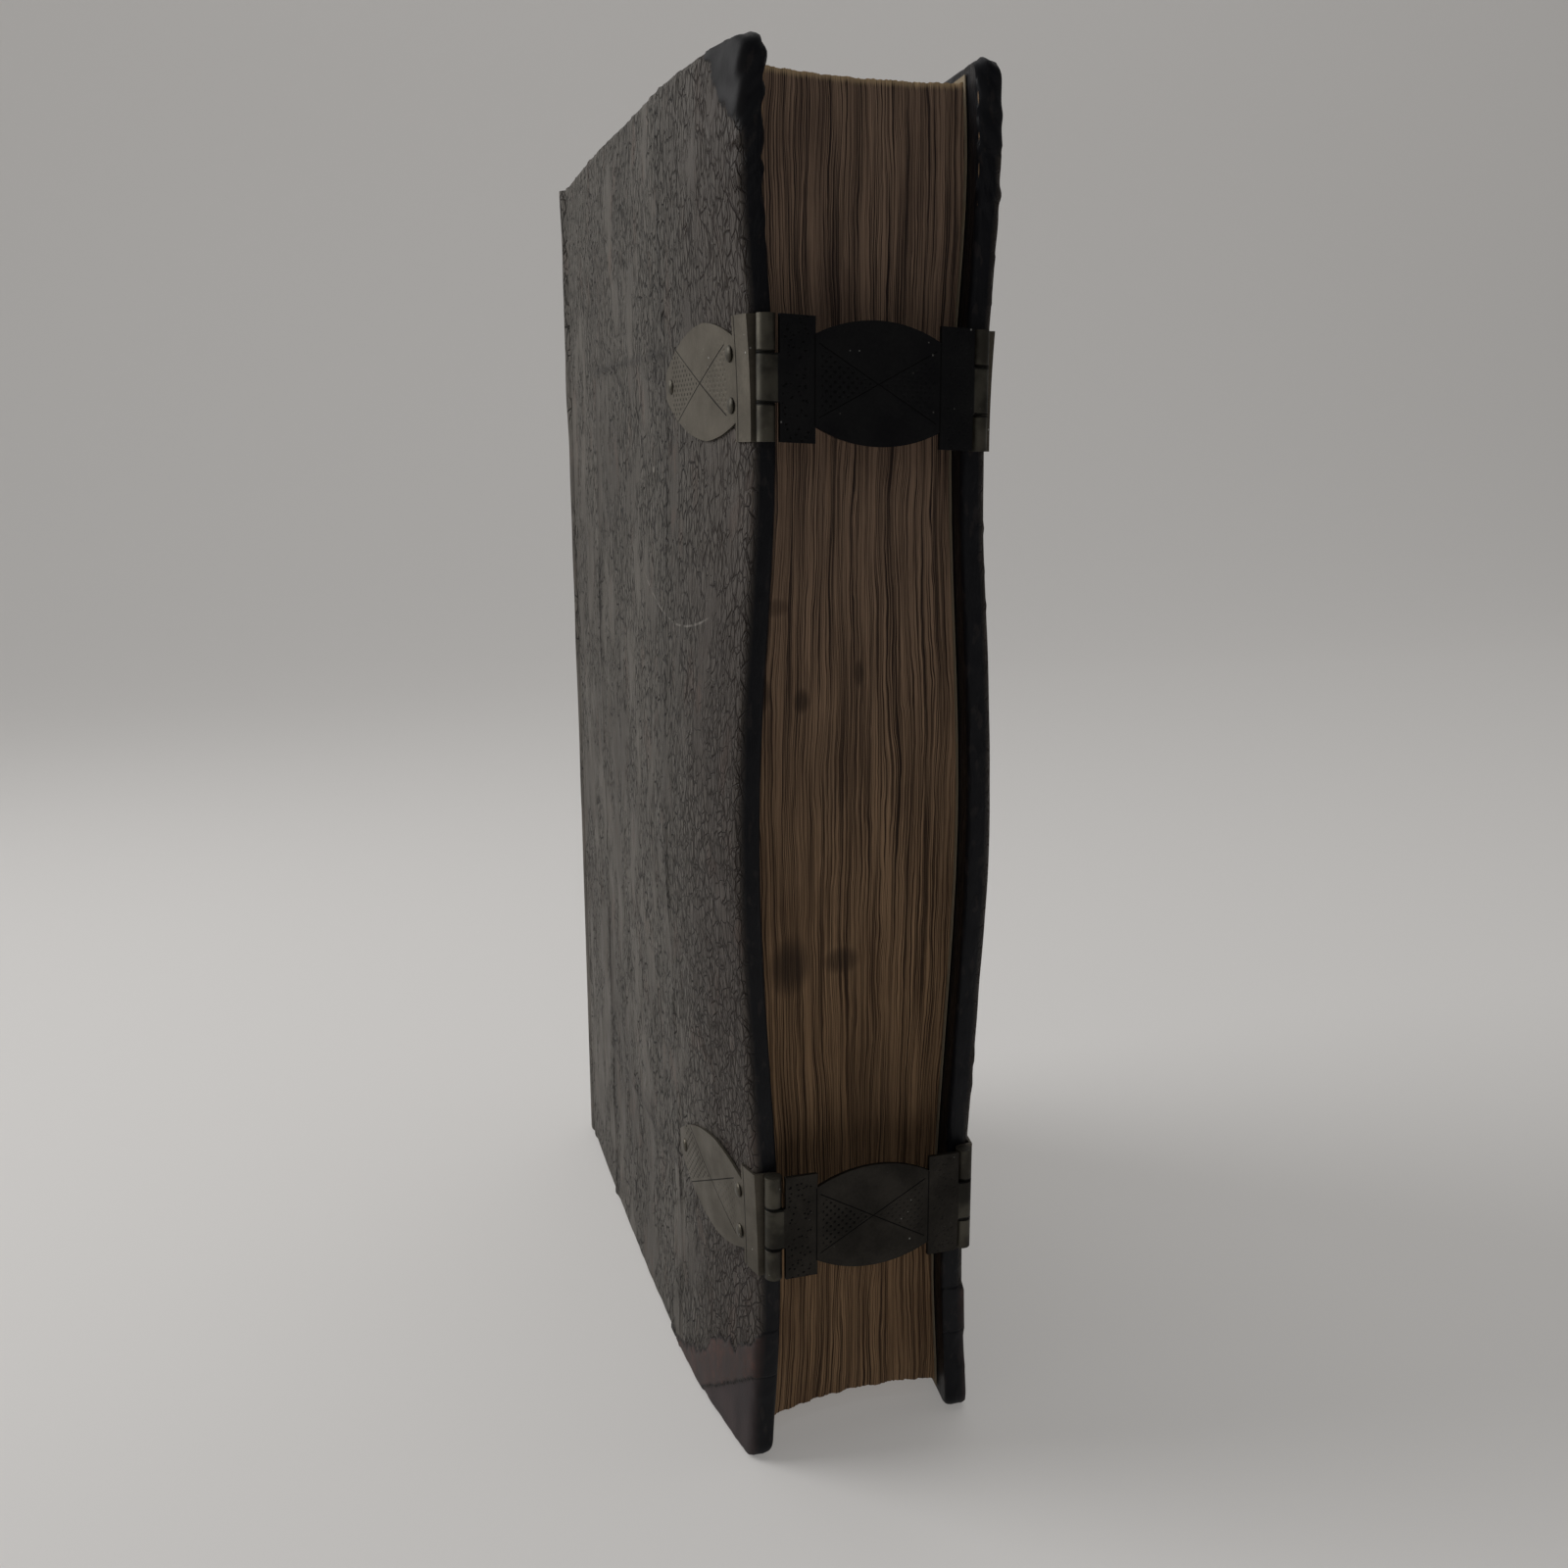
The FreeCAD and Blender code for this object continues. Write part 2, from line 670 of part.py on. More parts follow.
make_block()
make_spine()
make_endband("tail_endband", BLOCK_LOW, -1)
make_endband("head_endband", BLOCK_HIGH, 1)
for cover_side, cover_name, plate_name, axis_pin, pin_name in (
        (-1, "front", "anchor_plate", "hinge_pin", "hinge_pin"),
        (1, "back", "catch_plate", "catch_pin", "catch_pin")):
    make_cover(cover_side, cover_name)
    for place in ("top", "bottom"):
        metal = make_plate(cover_side, place, place + "_" + plate_name, axis_pin)
        make_pin(cover_side, place, place + "_" + pin_name, axis_pin)
        for order, rivet in enumerate(rivet_spots(cover_side, plate_centre(cover_side, place)), start=1):
            make_rivet(cover_side, rivet, metal, "%s_%s_rivet_%d" % (cover_name, place, order))
for place in ("top", "bottom"):
    make_clasp(place)

doc.recompute()
for item in doc.Objects:
    assert not {"Invalid", "Error"} & set(item.State), (item.Label, item.State)
os.makedirs("parts", exist_ok=True)
found = {item.Label: item for item in doc.Objects}
for label in LABELS:
    shape = found[label].Shape
    assert not shape.isNull() and shape.isValid(), label
for label in LABELS:
    shape = found[label].Shape
    shape.exportStep("parts/%s.step" % label)
    box = shape.BoundBox
    print("%-24s %9.1f mm3  solids %d  x %.2f..%.2f y %.2f..%.2f z %.2f..%.2f" % (
        label, shape.Volume, len(shape.Solids), box.XMin, box.XMax, box.YMin, box.YMax, box.ZMin, box.ZMax))
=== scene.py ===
import math

import bpy
import numpy as np
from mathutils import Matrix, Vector, noise
from mathutils.bvhtree import BVHTree


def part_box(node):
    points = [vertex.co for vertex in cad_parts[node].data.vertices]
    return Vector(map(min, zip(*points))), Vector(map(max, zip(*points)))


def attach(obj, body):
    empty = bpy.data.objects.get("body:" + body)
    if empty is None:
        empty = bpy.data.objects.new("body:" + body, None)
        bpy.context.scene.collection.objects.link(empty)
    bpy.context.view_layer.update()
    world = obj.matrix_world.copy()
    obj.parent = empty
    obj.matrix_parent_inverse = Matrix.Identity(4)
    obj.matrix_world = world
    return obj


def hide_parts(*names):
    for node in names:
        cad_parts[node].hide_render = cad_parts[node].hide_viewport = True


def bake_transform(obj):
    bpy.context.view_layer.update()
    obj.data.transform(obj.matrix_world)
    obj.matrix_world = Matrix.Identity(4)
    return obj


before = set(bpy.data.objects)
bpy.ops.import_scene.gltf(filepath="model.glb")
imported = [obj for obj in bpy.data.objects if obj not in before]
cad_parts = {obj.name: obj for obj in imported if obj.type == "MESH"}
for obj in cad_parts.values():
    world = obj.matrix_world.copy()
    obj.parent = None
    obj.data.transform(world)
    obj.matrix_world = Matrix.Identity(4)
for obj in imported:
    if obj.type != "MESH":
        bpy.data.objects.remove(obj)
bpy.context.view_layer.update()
MM = 0.001


# Shader maths

class Signal:
    """A value that varies over a surface; arithmetic on it adds the nodes that work it out."""

    def __init__(self, finish, socket):
        self.finish = finish
        self.socket = socket

    def maths(self, operation, *terms):
        return self.finish.node("ShaderNodeMath", {"operation": operation}, terms)

    def vectors(self, operation, other):
        return self.finish.node("ShaderNodeVectorMath", {"operation": operation}, [self, other])

    def __add__(self, other):
        return self.maths("ADD", self, other)

    def __sub__(self, other):
        return self.maths("SUBTRACT", self, other)

    def __rsub__(self, other):
        return self.maths("SUBTRACT", other, self)

    def __mul__(self, other):
        return self.maths("MULTIPLY", self, other)

    def __truediv__(self, other):
        return self.maths("DIVIDE", self, other)

    def __abs__(self):
        return self.maths("ABSOLUTE", self)

    def least(self, other):
        return self.maths("MINIMUM", self, other)

    def most(self, other):
        return self.maths("MAXIMUM", self, other)

    def stretched(self, x, y, z):
        return self.vectors("MULTIPLY", (x, y, z))

    def moved(self, other):
        return self.vectors("ADD", other)

    def along(self, axis):
        """One component of a vector, 0 for X, 1 for Y and 2 for Z."""
        return self.finish.node("ShaderNodeSeparateXYZ", {}, [self], axis)

    def ramp(self, low, high, start=0.0, end=1.0):
        """Eases from start to end as the value goes from low to high."""
        return self.finish.node("ShaderNodeMapRange", {"interpolation_type": "SMOOTHSTEP"},
                                {"Value": self, "From Min": low, "From Max": high,
                                 "To Min": start, "To Max": end})


class Finish:
    """A procedural material that is put together one node at a time."""

    def __init__(self, name):
        self.material = bpy.data.materials.new(name)
        self.material.use_nodes = True
        self.tree = self.material.node_tree
        self.shader = self.tree.nodes["Principled BSDF"]
        self.at = self.node("ShaderNodeTexCoord", {}, {}, "Object").stretched(1 / MM, 1 / MM, 1 / MM)

    def node(self, kind, settings, inputs, output=0):
        made = self.tree.nodes.new(kind)
        for name, value in settings.items():
            setattr(made, name, value)
        for key, value in (inputs.items() if isinstance(inputs, dict) else enumerate(inputs)):
            if isinstance(value, Signal):
                self.tree.links.new(value.socket, made.inputs[key])
            else:
                made.inputs[key].default_value = value
        return Signal(self, made.outputs[output])

    def cloud(self, at, size, detail, output=0):
        """Soft noise whose spots are about as large as size, given as three lengths."""
        scaled = at.stretched(*(1 / length for length in size))
        return self.node("ShaderNodeTexNoise", {},
                         {"Vector": scaled, "Scale": 1.0, "Detail": detail}, output)

    def cells(self, at, size, feature="DISTANCE_TO_EDGE"):
        """Random cells about as large as size: the distance to their edges, or F1 to their middles."""
        scaled = at.stretched(*(1 / length for length in size))
        return self.node("ShaderNodeTexVoronoi", {"feature": feature}, {"Vector": scaled, "Scale": 1.0})

    def warped(self, size, reach):
        """The surface's coordinates, pushed about by a cloud by up to half of reach."""
        drift = self.cloud(self.at, size, 2.0, "Color").moved((-0.5, -0.5, -0.5))
        return self.at.moved(drift.stretched(reach, reach, reach))

    def painted(self, name):
        """A value stored on the mesh's points."""
        return self.node("ShaderNodeAttribute", {"attribute_name": name}, {}, "Fac")

    def blend(self, share, first, second):
        """Mix of two colours, given as three numbers or as signals."""
        pair = [tone if isinstance(tone, Signal) else (*tone, 1.0) for tone in (first, second)]
        return self.node("ShaderNodeMix", {"data_type": "RGBA"}, {0: share, 6: pair[0], 7: pair[1]}, 2)

    def relief(self, height, strength=1.0):
        """Normal of a surface whose height is given in millimetres."""
        return self.node("ShaderNodeBump", {}, {"Strength": strength, "Distance": MM, "Height": height})

    def set(self, **inputs):
        """Give the shader its inputs: Base_Color becomes the socket Base Color."""
        for name, value in inputs.items():
            socket = self.shader.inputs[name.replace("_", " ")]
            if isinstance(value, Signal):
                self.tree.links.new(value.socket, socket)
            else:
                socket.default_value = (*value, 1.0) if isinstance(value, tuple) else value
        return self.material


# Finishes

# What is painted on the points of leather: its edge, newer leather, lost skin, tooling and crazing
LEATHER_PAINTS = ("rim", "patch", "lost", "tooled", "crazed")

# Marks on the front cover, as distance from the fore-edge and height: lowest point of a long
# scratch that bends up to both sides, and the middle of a pale fleck
SCRATCH_LOW = (52.0, 248.0)
SCRATCH_BEND = 0.0062
FLECK = (84.0, 293.0)


def line_at(value, place, width):
    """1 where a value passes a place, gone at width to each side."""
    return abs(value - place).ramp(width * 0.45, width, 1.0, 0.0)


def leather_finish():
    """Dark calf gone brittle: long cracks up the cover, crazing, red-brown where the skin is lost."""
    finish = Finish("aged_calf")
    at = finish.warped((8.0, 8.0, 13.0), 4.5)
    rim, patch, lost, tooled, crazed = (finish.painted(name) for name in LEATHER_PAINTS)
    x, y, z = (finish.at.along(axis) for axis in range(3))
    front = x.ramp(-24.0, -22.0, 1.0, 0.0)
    across = y - FRONT.fore
    sound = 1 - patch.most(lost)
    broad = finish.cloud(finish.at, (50.0, 50.0, 75.0), 3.0)
    mottle = finish.cloud(finish.at, (8.0, 8.0, 15.0), 5.0)
    striae = finish.cloud(at, (1.2, 1.2, 13.0), 5.0)
    pores = finish.cloud(finish.at, (0.6, 0.6, 0.8), 3.0)
    dry = across.ramp(40.0, 200.0, 0.75, 0.35).most(z.ramp(250.0, 380.0, 0.3, 0.8)).most(crazed)
    zone = (finish.cloud(finish.at, (14.0, 14.0, 30.0), 3.0) + dry * 0.22 - 0.1).ramp(0.4, 0.56)
    plates = finish.cells(at, (2.7, 2.7, 8.2)).ramp(0.0, 0.075, 1.0, 0.0)
    hair = finish.cells(at, (1.3, 1.3, 6.0)).ramp(0.0, 0.09, 1.0, 0.0) * 0.6
    crazing = finish.cells(at, (4.4, 4.4, 5.8)).ramp(0.0, 0.055, 1.0, 0.0) * crazed
    cracks = (plates.most(hair) * zone).most(crazing) * sound * (1 - rim)
    height = striae * 0.45 + pores * 0.07 + mottle * 0.2 - cracks * 0.7
    calm = pores * 0.05 + mottle * 0.12
    height = height * sound + calm * (1 - sound)

    worn = finish.blend(broad.ramp(0.35, 0.65), (0.068, 0.06, 0.051), (0.108, 0.097, 0.083))
    worn = finish.blend(striae.ramp(0.3, 0.7), finish.blend(0.4, worn, (0.026, 0.023, 0.021)), worn)
    scuffs = finish.cloud(at, (10.0, 10.0, 22.0), 6.0).ramp(0.55, 0.68) * dry * sound
    worn = finish.blend(scuffs * 0.45, worn, (0.11, 0.068, 0.052))
    worn = finish.blend(zone * (1 - cracks) * 0.3, worn, (0.15, 0.138, 0.12))
    worn = finish.blend(cracks * 0.85, worn, (0.013, 0.012, 0.011))
    worn = finish.blend(across.ramp(0.0, 75.0, 0.5, 0.0), worn, (0.036, 0.024, 0.02))
    worn = finish.blend(tooled * 0.85, worn, (0.014, 0.012, 0.012))
    beside = across - SCRATCH_LOW[0]
    bow = beside * beside * SCRATCH_BEND + SCRATCH_LOW[1]
    scratch = line_at(z - bow, 0.0, 0.45) * across.ramp(22.0, 30.0) * across.ramp(90.0, 100.0, 1.0, 0.0)
    scratch = scratch * finish.cloud(finish.at, (3.0, 3.0, 3.0), 3.0).ramp(0.4, 0.55)
    right, over = across - FLECK[0], z - FLECK[1]
    fleck = (right * right + over * over).ramp(0.6, 1.6, 1.0, 0.0)
    worn = finish.blend((scratch * 0.4).most(fleck * 0.8) * front, worn, (0.3, 0.28, 0.25))
    repaired = finish.blend(mottle.ramp(0.3, 0.7), (0.026, 0.02, 0.021), (0.048, 0.036, 0.036))
    repaired = finish.blend(z.ramp(200.0, 210.0), repaired, (0.0085, 0.0082, 0.0095))
    worn = finish.blend(patch, worn, repaired)
    flakes = finish.cells(at, (3.0, 3.0, 3.4), "F1").ramp(0.3, 0.5)
    raw = finish.blend(mottle.ramp(0.35, 0.65), (0.026, 0.015, 0.013), (0.068, 0.037, 0.031))
    worn = finish.blend(lost, worn, finish.blend(flakes * 0.45, raw, (0.03, 0.025, 0.025)))
    # Painted shadow: a near-black line along the ragged borders of lost skin and of newer leather,
    # standing in for the shade of the raised leather edge
    brink_shadow = (lost * (1 - lost)).most(patch * (1 - patch)) * 3.2
    worn = finish.blend(brink_shadow.least(0.9), worn, (0.008, 0.007, 0.007))
    rubbed = finish.cloud(finish.at, (2.6, 2.6, 6.0), 6.0).ramp(0.56, 0.66)
    edge = finish.blend(rubbed * 0.4, (0.0035, 0.0038, 0.006), (0.03, 0.024, 0.023))
    tone = finish.blend(rim, worn, edge)
    gloss = mottle.ramp(0.25, 0.75, 0.5, 0.64) - rim * 0.14 + patch * 0.1 + cracks * 0.25
    return finish.set(Base_Color=tone, Roughness=gloss, Normal=finish.relief(height),
                      Specular_IOR_Level=0.18)


def page_finish():
    """Cut edges of old rag paper, each leaf a streak, darker at the head, with a few stains."""
    finish = Finish("page_edges")
    leaf = finish.painted("leaf")
    x, y, z = (finish.at.along(axis) for axis in range(3))
    drift = finish.cloud(finish.at, (11.0, 11.0, 34.0), 3.0) * 3.2
    thread = finish.node("ShaderNodeCombineXYZ", {}, [leaf + drift, y, z])
    fine = finish.cloud(thread, (0.15, 90.0, 55.0), 2.0)
    few = finish.cloud(thread, (0.42, 220.0, 80.0), 3.0)
    many = finish.cloud(thread, (2.2, 220.0, 160.0), 3.0)
    groups = few * 0.6 + many * 0.4
    patchy = finish.cloud(finish.at, (20.0, 20.0, 46.0), 5.0)
    up = z.ramp(110.0, 330.0)
    light = finish.blend(up, (0.34, 0.212, 0.118), (0.3, 0.202, 0.142))
    dark = finish.blend(up, (0.045, 0.025, 0.014), (0.026, 0.017, 0.015))
    streak = (fine * 0.55 + groups * 0.45).ramp(0.43, 0.55)
    tone = finish.blend(streak, dark, light)
    soiled = finish.blend(up, (0.1, 0.055, 0.029), (0.062, 0.039, 0.032))
    tone = finish.blend(patchy.ramp(0.48, 0.7) * 0.4, tone, soiled)
    rim = (z + fine * 3.0).ramp(BLOCK_TOP - 0.8, BLOCK_TOP + 1.2)
    tone = finish.blend(rim * 0.8, tone, (0.55, 0.4, 0.23))
    slit = (fine * 0.5 + groups * 0.5).ramp(0.34, 0.4, 1.0, 0.0)
    tone = finish.blend(slit * 0.8, tone, (0.014, 0.01, 0.009))
    for across, height, width, tall, depth in STAINS:
        right, over = (x - across) / width, (z - height) / tall
        far = right * right + over * over + patchy - 0.5
        tone = finish.blend(far.ramp(0.0, 1.5, depth, 0.0), tone, (0.03, 0.02, 0.015))
    relief = finish.relief(fine * 0.35 + groups * 0.35, 0.8)
    return finish.set(Base_Color=tone, Roughness=0.85, Normal=relief,
                      Specular_IOR_Level=0.2)


def endpaper_finish():
    finish = Finish("laid_endpaper")
    fibres = finish.cloud(finish.at, (0.5, 0.5, 3.0), 4.0)
    foxing = finish.cloud(finish.at, (7.0, 7.0, 7.0), 5.0).ramp(0.6, 0.75)
    tone = finish.blend(fibres, (0.2, 0.165, 0.115), (0.3, 0.25, 0.18))
    tone = finish.blend(foxing * 0.5, tone, (0.3, 0.2, 0.11))
    return finish.set(Base_Color=tone, Roughness=0.9, Normal=finish.relief(fibres * 0.06),
                      Specular_IOR_Level=0.15)


def oak_finish():
    finish = Finish("bare_oak")
    grain = finish.cloud(finish.at, (0.9, 0.9, 40.0), 4.0)
    tone = finish.blend(grain.ramp(0.3, 0.7), (0.2, 0.12, 0.065), (0.36, 0.24, 0.14))
    return finish.set(Base_Color=tone, Roughness=0.75, Normal=finish.relief(grain * 0.15))


def cord_finish():
    finish = Finish("hemp_cord")
    twist = finish.cloud(finish.at, (0.8, 0.8, 2.5), 3.0)
    tone = finish.blend(twist, (0.28, 0.2, 0.12), (0.5, 0.4, 0.27))
    return finish.set(Base_Color=tone, Roughness=0.85, Normal=finish.relief(twist * 0.3))


def thread_finish():
    """Endband thread, natural linen with faded brown turns."""
    finish = Finish("endband_thread")
    turns = finish.painted("turns")
    fuzz = finish.cloud(finish.at, (0.3, 0.3, 0.3), 3.0)
    tone = finish.blend(turns, (0.42, 0.34, 0.22), (0.13, 0.07, 0.045))
    tone = finish.blend(fuzz * 0.4, tone, (0.1, 0.08, 0.06))
    return finish.set(Base_Color=tone, Roughness=0.8, Normal=finish.relief(fuzz * 0.1))


# Places of the clasps, as the frame has them: height of the lower one's hinge, the step up to the
# upper one, how far the catch end lies below the hinge end, the slope that this gives a clasp, and
# how far the back cover's plates sit behind the front cover's
LOW_CLASP = 78.4
CLASP_STEP = 238.3
CATCH_DROP = 2.6
CLASP_SLOPE = 0.042
PLATE_SETBACK = 4.0

# Knuckles of clasps and plates: how far from the clasp's middle line they start, and where the gap
# between two of them lies above and below its height
CLASP_KNUCKLE = 28.3
KNUCKLE_GAP = 6.3

# Middle of the two triangles on a plate, from the cover's fore-edge
PLATE_TIE = 31.0


def at_upper(z):
    """1 at the upper clasp and 0 at the lower one."""
    return z.ramp(199.0, 201.0)


def punched(u, w, pitch):
    """Rows of small punched dots, every other row shifted."""
    along, up = (value * (2 * math.pi / pitch) for value in (u, w))
    return (along.maths("COSINE", along) * up.maths("COSINE", up)).ramp(0.35, 0.75)


def clasp_cuts(finish):
    """Engraving of a clasp: two lined triangles that meet in its oval, and lines at the necks."""
    x, z = finish.at.along(0), finish.at.along(2)
    top = at_upper(z)
    u = x - (1.0 - top * 1.1)
    w = z - (top * CLASP_STEP + (LOW_CLASP - CATCH_DROP / 2)) + u * CLASP_SLOPE
    out, off = abs(u), abs(w)
    tie = off - out * 0.55
    lines = line_at(tie, 0.0, 0.26) * out.ramp(16.9, 17.1, 1.0, 0.0)
    necks = line_at(out, 18.2, 0.24) * off.ramp(11.3, 11.6, 1.0, 0.0)
    inside = tie.ramp(-1.1, -0.8, 1.0, 0.0) * out.ramp(16.2, 16.4, 1.0, 0.0)
    dots = punched(u, w, 2.5) * inside * u.ramp(-0.1, 0.1, 1.0, 0.35)
    pecks = finish.cells(finish.at, (1.5, 1.5, 1.3), "F1").ramp(0.16, 0.3, 1.0, 0.0)
    pecks = pecks * out.ramp(19.6, 20.0) * out.ramp(27.0, 27.4, 1.0, 0.0) * u.ramp(-0.1, 0.1, 1.0, 0.3)
    knuckle = out.ramp(CLASP_KNUCKLE, CLASP_KNUCKLE + 0.4)
    gaps = line_at(off, KNUCKLE_GAP, 0.75) * knuckle
    return lines.most(necks).most(dots * 0.8).most(pecks).most(gaps), knuckle


def plate_cuts(finish):
    """Engraving of an anchor or catch plate: two triangles that meet, the outer one dotted."""
    x, y, z = (finish.at.along(axis) for axis in range(3))
    back = x.ramp(-1.0, 1.0)
    v = y - (back * PLATE_SETBACK + FRONT.fore)
    w = z - (at_upper(z) * CLASP_STEP + LOW_CLASP - back * CATCH_DROP)
    off = abs(w)
    tie = off - abs(v - PLATE_TIE) * 0.5
    flat = v.ramp(12.6, 13.0) * v.ramp(55.0, 56.0, 1.0, 0.0)
    lines = (line_at(tie, 0.0, 0.28) * flat).most(line_at(v, 6.2, 0.26))
    inside = tie.ramp(-1.2, -0.9, 1.0, 0.0) * flat
    dots = punched(v, w, 2.6) * inside * v.ramp(PLATE_TIE - 1, PLATE_TIE + 1, 0.25, 1.0)
    knuckle = v.ramp(-1.3, -1.0, 1.0, 0.0)
    gaps = line_at(off, KNUCKLE_GAP, 0.75) * knuckle
    return lines.most(dots * 0.8).most(gaps), knuckle


def brass_finish(name, dull, bright, shine, cuts=None):
    """Brass under old tarnish; shine is how far it is rubbed clean, cuts draws its engraving."""
    finish = Finish(name)
    film = finish.cloud(finish.at, (12.0, 12.0, 12.0), 4.0)
    spots = finish.cloud(finish.at, (0.9, 0.9, 0.9), 4.0)
    specks = finish.cells(finish.at, (2.6, 2.6, 2.6), "F1").ramp(0.08, 0.14, 1.0, 0.0)
    specks = specks * finish.cloud(finish.at, (9.0, 9.0, 9.0), 1.0).ramp(0.56, 0.66)
    scratches = finish.cloud(finish.at, (0.35, 0.35, 9.0), 3.0)
    tone = finish.blend((film * 0.65 + spots * 0.35).ramp(0.3, 0.7), dull, bright)
    height = spots * 0.04 + scratches * 0.04
    rough = film.ramp(0.3, 0.7, 0.6 - shine, 0.48 - shine) + spots * 0.1
    if cuts:
        cut, knuckle = cuts(finish)
        rolled = finish.blend(film.ramp(0.4, 0.6), (0.028, 0.026, 0.021), (0.085, 0.079, 0.062))
        tone = finish.blend(knuckle * 0.8, tone, rolled)
        tone = finish.blend(cut * 0.85, tone, (0.004, 0.004, 0.004))
        height = height - cut * 0.45
        rough = rough + cut * 0.2
    tone = finish.blend(specks * 0.6, tone, (0.4, 0.4, 0.37))
    metal = 0.85 - specks * 0.7
    return finish.set(Base_Color=tone, Metallic=metal, Roughness=rough, Normal=finish.relief(height))


# Meshes

def quads(numbers, turned):
    """Quads over a rectangle of point numbers."""
    corners = [numbers[:-1, :-1], numbers[1:, :-1], numbers[1:, 1:], numbers[:-1, 1:]]
    found = np.stack(corners, axis=-1).reshape(-1, 4)
    return found[:, ::-1] if turned else found


def closed_skin(place, first, second, third):
    """Skin of a solid whose points are place(first, second, third) over three runs of stations."""
    runs = [np.asarray(run, float) for run in (first, second, third)]
    shape = tuple(len(run) for run in runs)
    skin = np.zeros(shape, bool)
    for axis in range(3):
        ends = np.moveaxis(skin, axis, 0)
        ends[0] = ends[-1] = True
    numbers = np.full(shape, -1)
    numbers[skin] = np.arange(skin.sum())
    where = [run[index] for run, index in zip(runs, np.nonzero(skin))]
    faces = []
    for axis in range(3):
        sides = np.moveaxis(numbers, axis, 0)
        faces.append(quads(sides[0], axis != 1))
        faces.append(quads(sides[-1], axis == 1))
    return place(*where), np.concatenate(faces), where


def outward(points, faces):
    """Unit normal at each point."""
    corners = points[faces]
    normal = np.cross(corners[:, 2] - corners[:, 0], corners[:, 3] - corners[:, 1])
    total = np.zeros_like(points)
    for corner in range(faces.shape[1]):
        np.add.at(total, faces[:, corner], normal)
    return total / np.maximum(np.linalg.norm(total, axis=1, keepdims=True), 1e-9)


def rough(points, size, seed=0.0):
    """Noise from -1 to 1 at points, with waves about as long as size, given as three lengths."""
    scaled = points / np.asarray(size, float) + seed
    return np.array([noise.noise(Vector(point)) for point in scaled])


def ease(value, low, high):
    """0 up to low, 1 from high on, and a smooth step between; also with low above high."""
    share = np.clip((value - low) / (high - low), 0.0, 1.0)
    return share * share * (3 - 2 * share)


def piece(name, points, faces, finish, paints, crease=50.0):
    """A mesh object in metres with its finish and what is painted on its points."""
    mesh = bpy.data.meshes.new(name)
    mesh.from_pydata((np.asarray(points) * MM).tolist(), [], np.asarray(faces).tolist())
    for paint, values in paints.items():
        layer = mesh.attributes.new(paint, "FLOAT", "POINT")
        layer.data.foreach_set("value", np.asarray(values, np.float32))
    mesh.materials.append(finish)
    mesh.validate()
    mesh.shade_smooth()
    mesh.set_sharp_from_angle(angle=math.radians(crease))
    made = bpy.data.objects.new(name, mesh)
    bpy.context.scene.collection.objects.link(made)
    return made


def limits(node):
    """Lowest and highest corner of a frame node, in millimetres."""
    return [np.array(corner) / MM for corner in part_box(node)]


# The covers' shape, read from the frame

COVER_WIDTH = 240.0
COVER_THICKNESS = 7.3
EDGE_ROUNDING = 2.4
CORNER_RADIUS = 5.5
TURN_IN = 18.0
PAPER_DEPTH = 7.95


class Cover:
    """Outer leather face of one cover as a smooth surface through the frame's own mesh."""

    def __init__(self, name, side):
        low, high = limits(name + "_leather")
        self.name, self.side = name, side
        self.fore, self.joint = low[1], high[1]
        self.width, self.height = high[1] - low[1], high[2]
        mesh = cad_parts[name + "_leather"].data
        tree = BVHTree.FromPolygons([v.co for v in mesh.vertices], [p.vertices for p in mesh.polygons])
        found = []
        for y in np.linspace(self.fore + 3.7, self.joint - 1, 24):
            for z in np.linspace(5, self.height - 5, 60):
                if self.start(z, 0.0) + EDGE_ROUNDING < y - self.fore:
                    hit = tree.ray_cast(Vector((side, y * MM, z * MM)), Vector((-side, 0, 0)))[0]
                    found.append((y, z, hit.x / MM))
        y, z, x = np.array(found).T
        self.terms = np.linalg.lstsq(self.shapes(y, z), x * side, rcond=None)[0]
        for _ in range(2):
            kept = abs(self.face(y, z) - x) < 0.3
            self.terms = np.linalg.lstsq(self.shapes(y, z)[kept], x[kept] * side, rcond=None)[0]

    def shapes(self, y, z):
        """A flat board, a cup across it, and a lean of the fore-edge that varies up the book."""
        across = (y - self.joint) / COVER_WIDTH + 1
        bow = across * (1 - across)
        up = np.polynomial.chebyshev.chebvander(z / self.height * 2 - 1, 9)
        lean = up * ((1 - across) ** 2)[:, None]
        return np.column_stack([np.ones_like(across), bow, bow * (1 - across) ** 3, lean])

    def face(self, y, z):
        """X of the outer face."""
        y, z = np.broadcast_arrays(np.asarray(y, float), np.asarray(z, float))
        return self.side * (self.shapes(y.ravel(), z.ravel()) @ self.terms).reshape(y.shape)

    def start(self, z, inset):
        """Distance from the fore-edge line to the cover's edge at height z, round at the corners."""
        over = np.abs(z - self.height / 2) - (self.height / 2 - CORNER_RADIUS)
        bend = CORNER_RADIUS - inset
        arc = CORNER_RADIUS - np.sqrt(np.maximum(bend ** 2 - np.maximum(over, 0) ** 2, 0))
        return np.where(over > 0, arc, inset)


FRONT = Cover("front", -1)
BACK = Cover("back", 1)
BLOCK_LOW, BLOCK_HIGH = limits("text_block")
BLOCK_TOP = BLOCK_HIGH[2]

# Stains on the fore-edge: x, z, half-width, half-height and strength
STAINS = [(-19.0, 151.0, 7.0, 9.0, 0.75), (-2.0, 150.0, 6.0, 4.0, 0.6), (-15.0, 229.0, 2.6, 3.6, 0.7),
          (-28.0, 232.0, 3.0, 4.5, 0.6), (-24.0, 256.0, 5.0, 2.5, 0.45), (3.0, 236.0, 1.6, 4.0, 0.6),
          (-6.0, 208.0, 9.0, 16.0, 0.2), (10.0, 110.0, 10.0, 22.0, 0.22)]

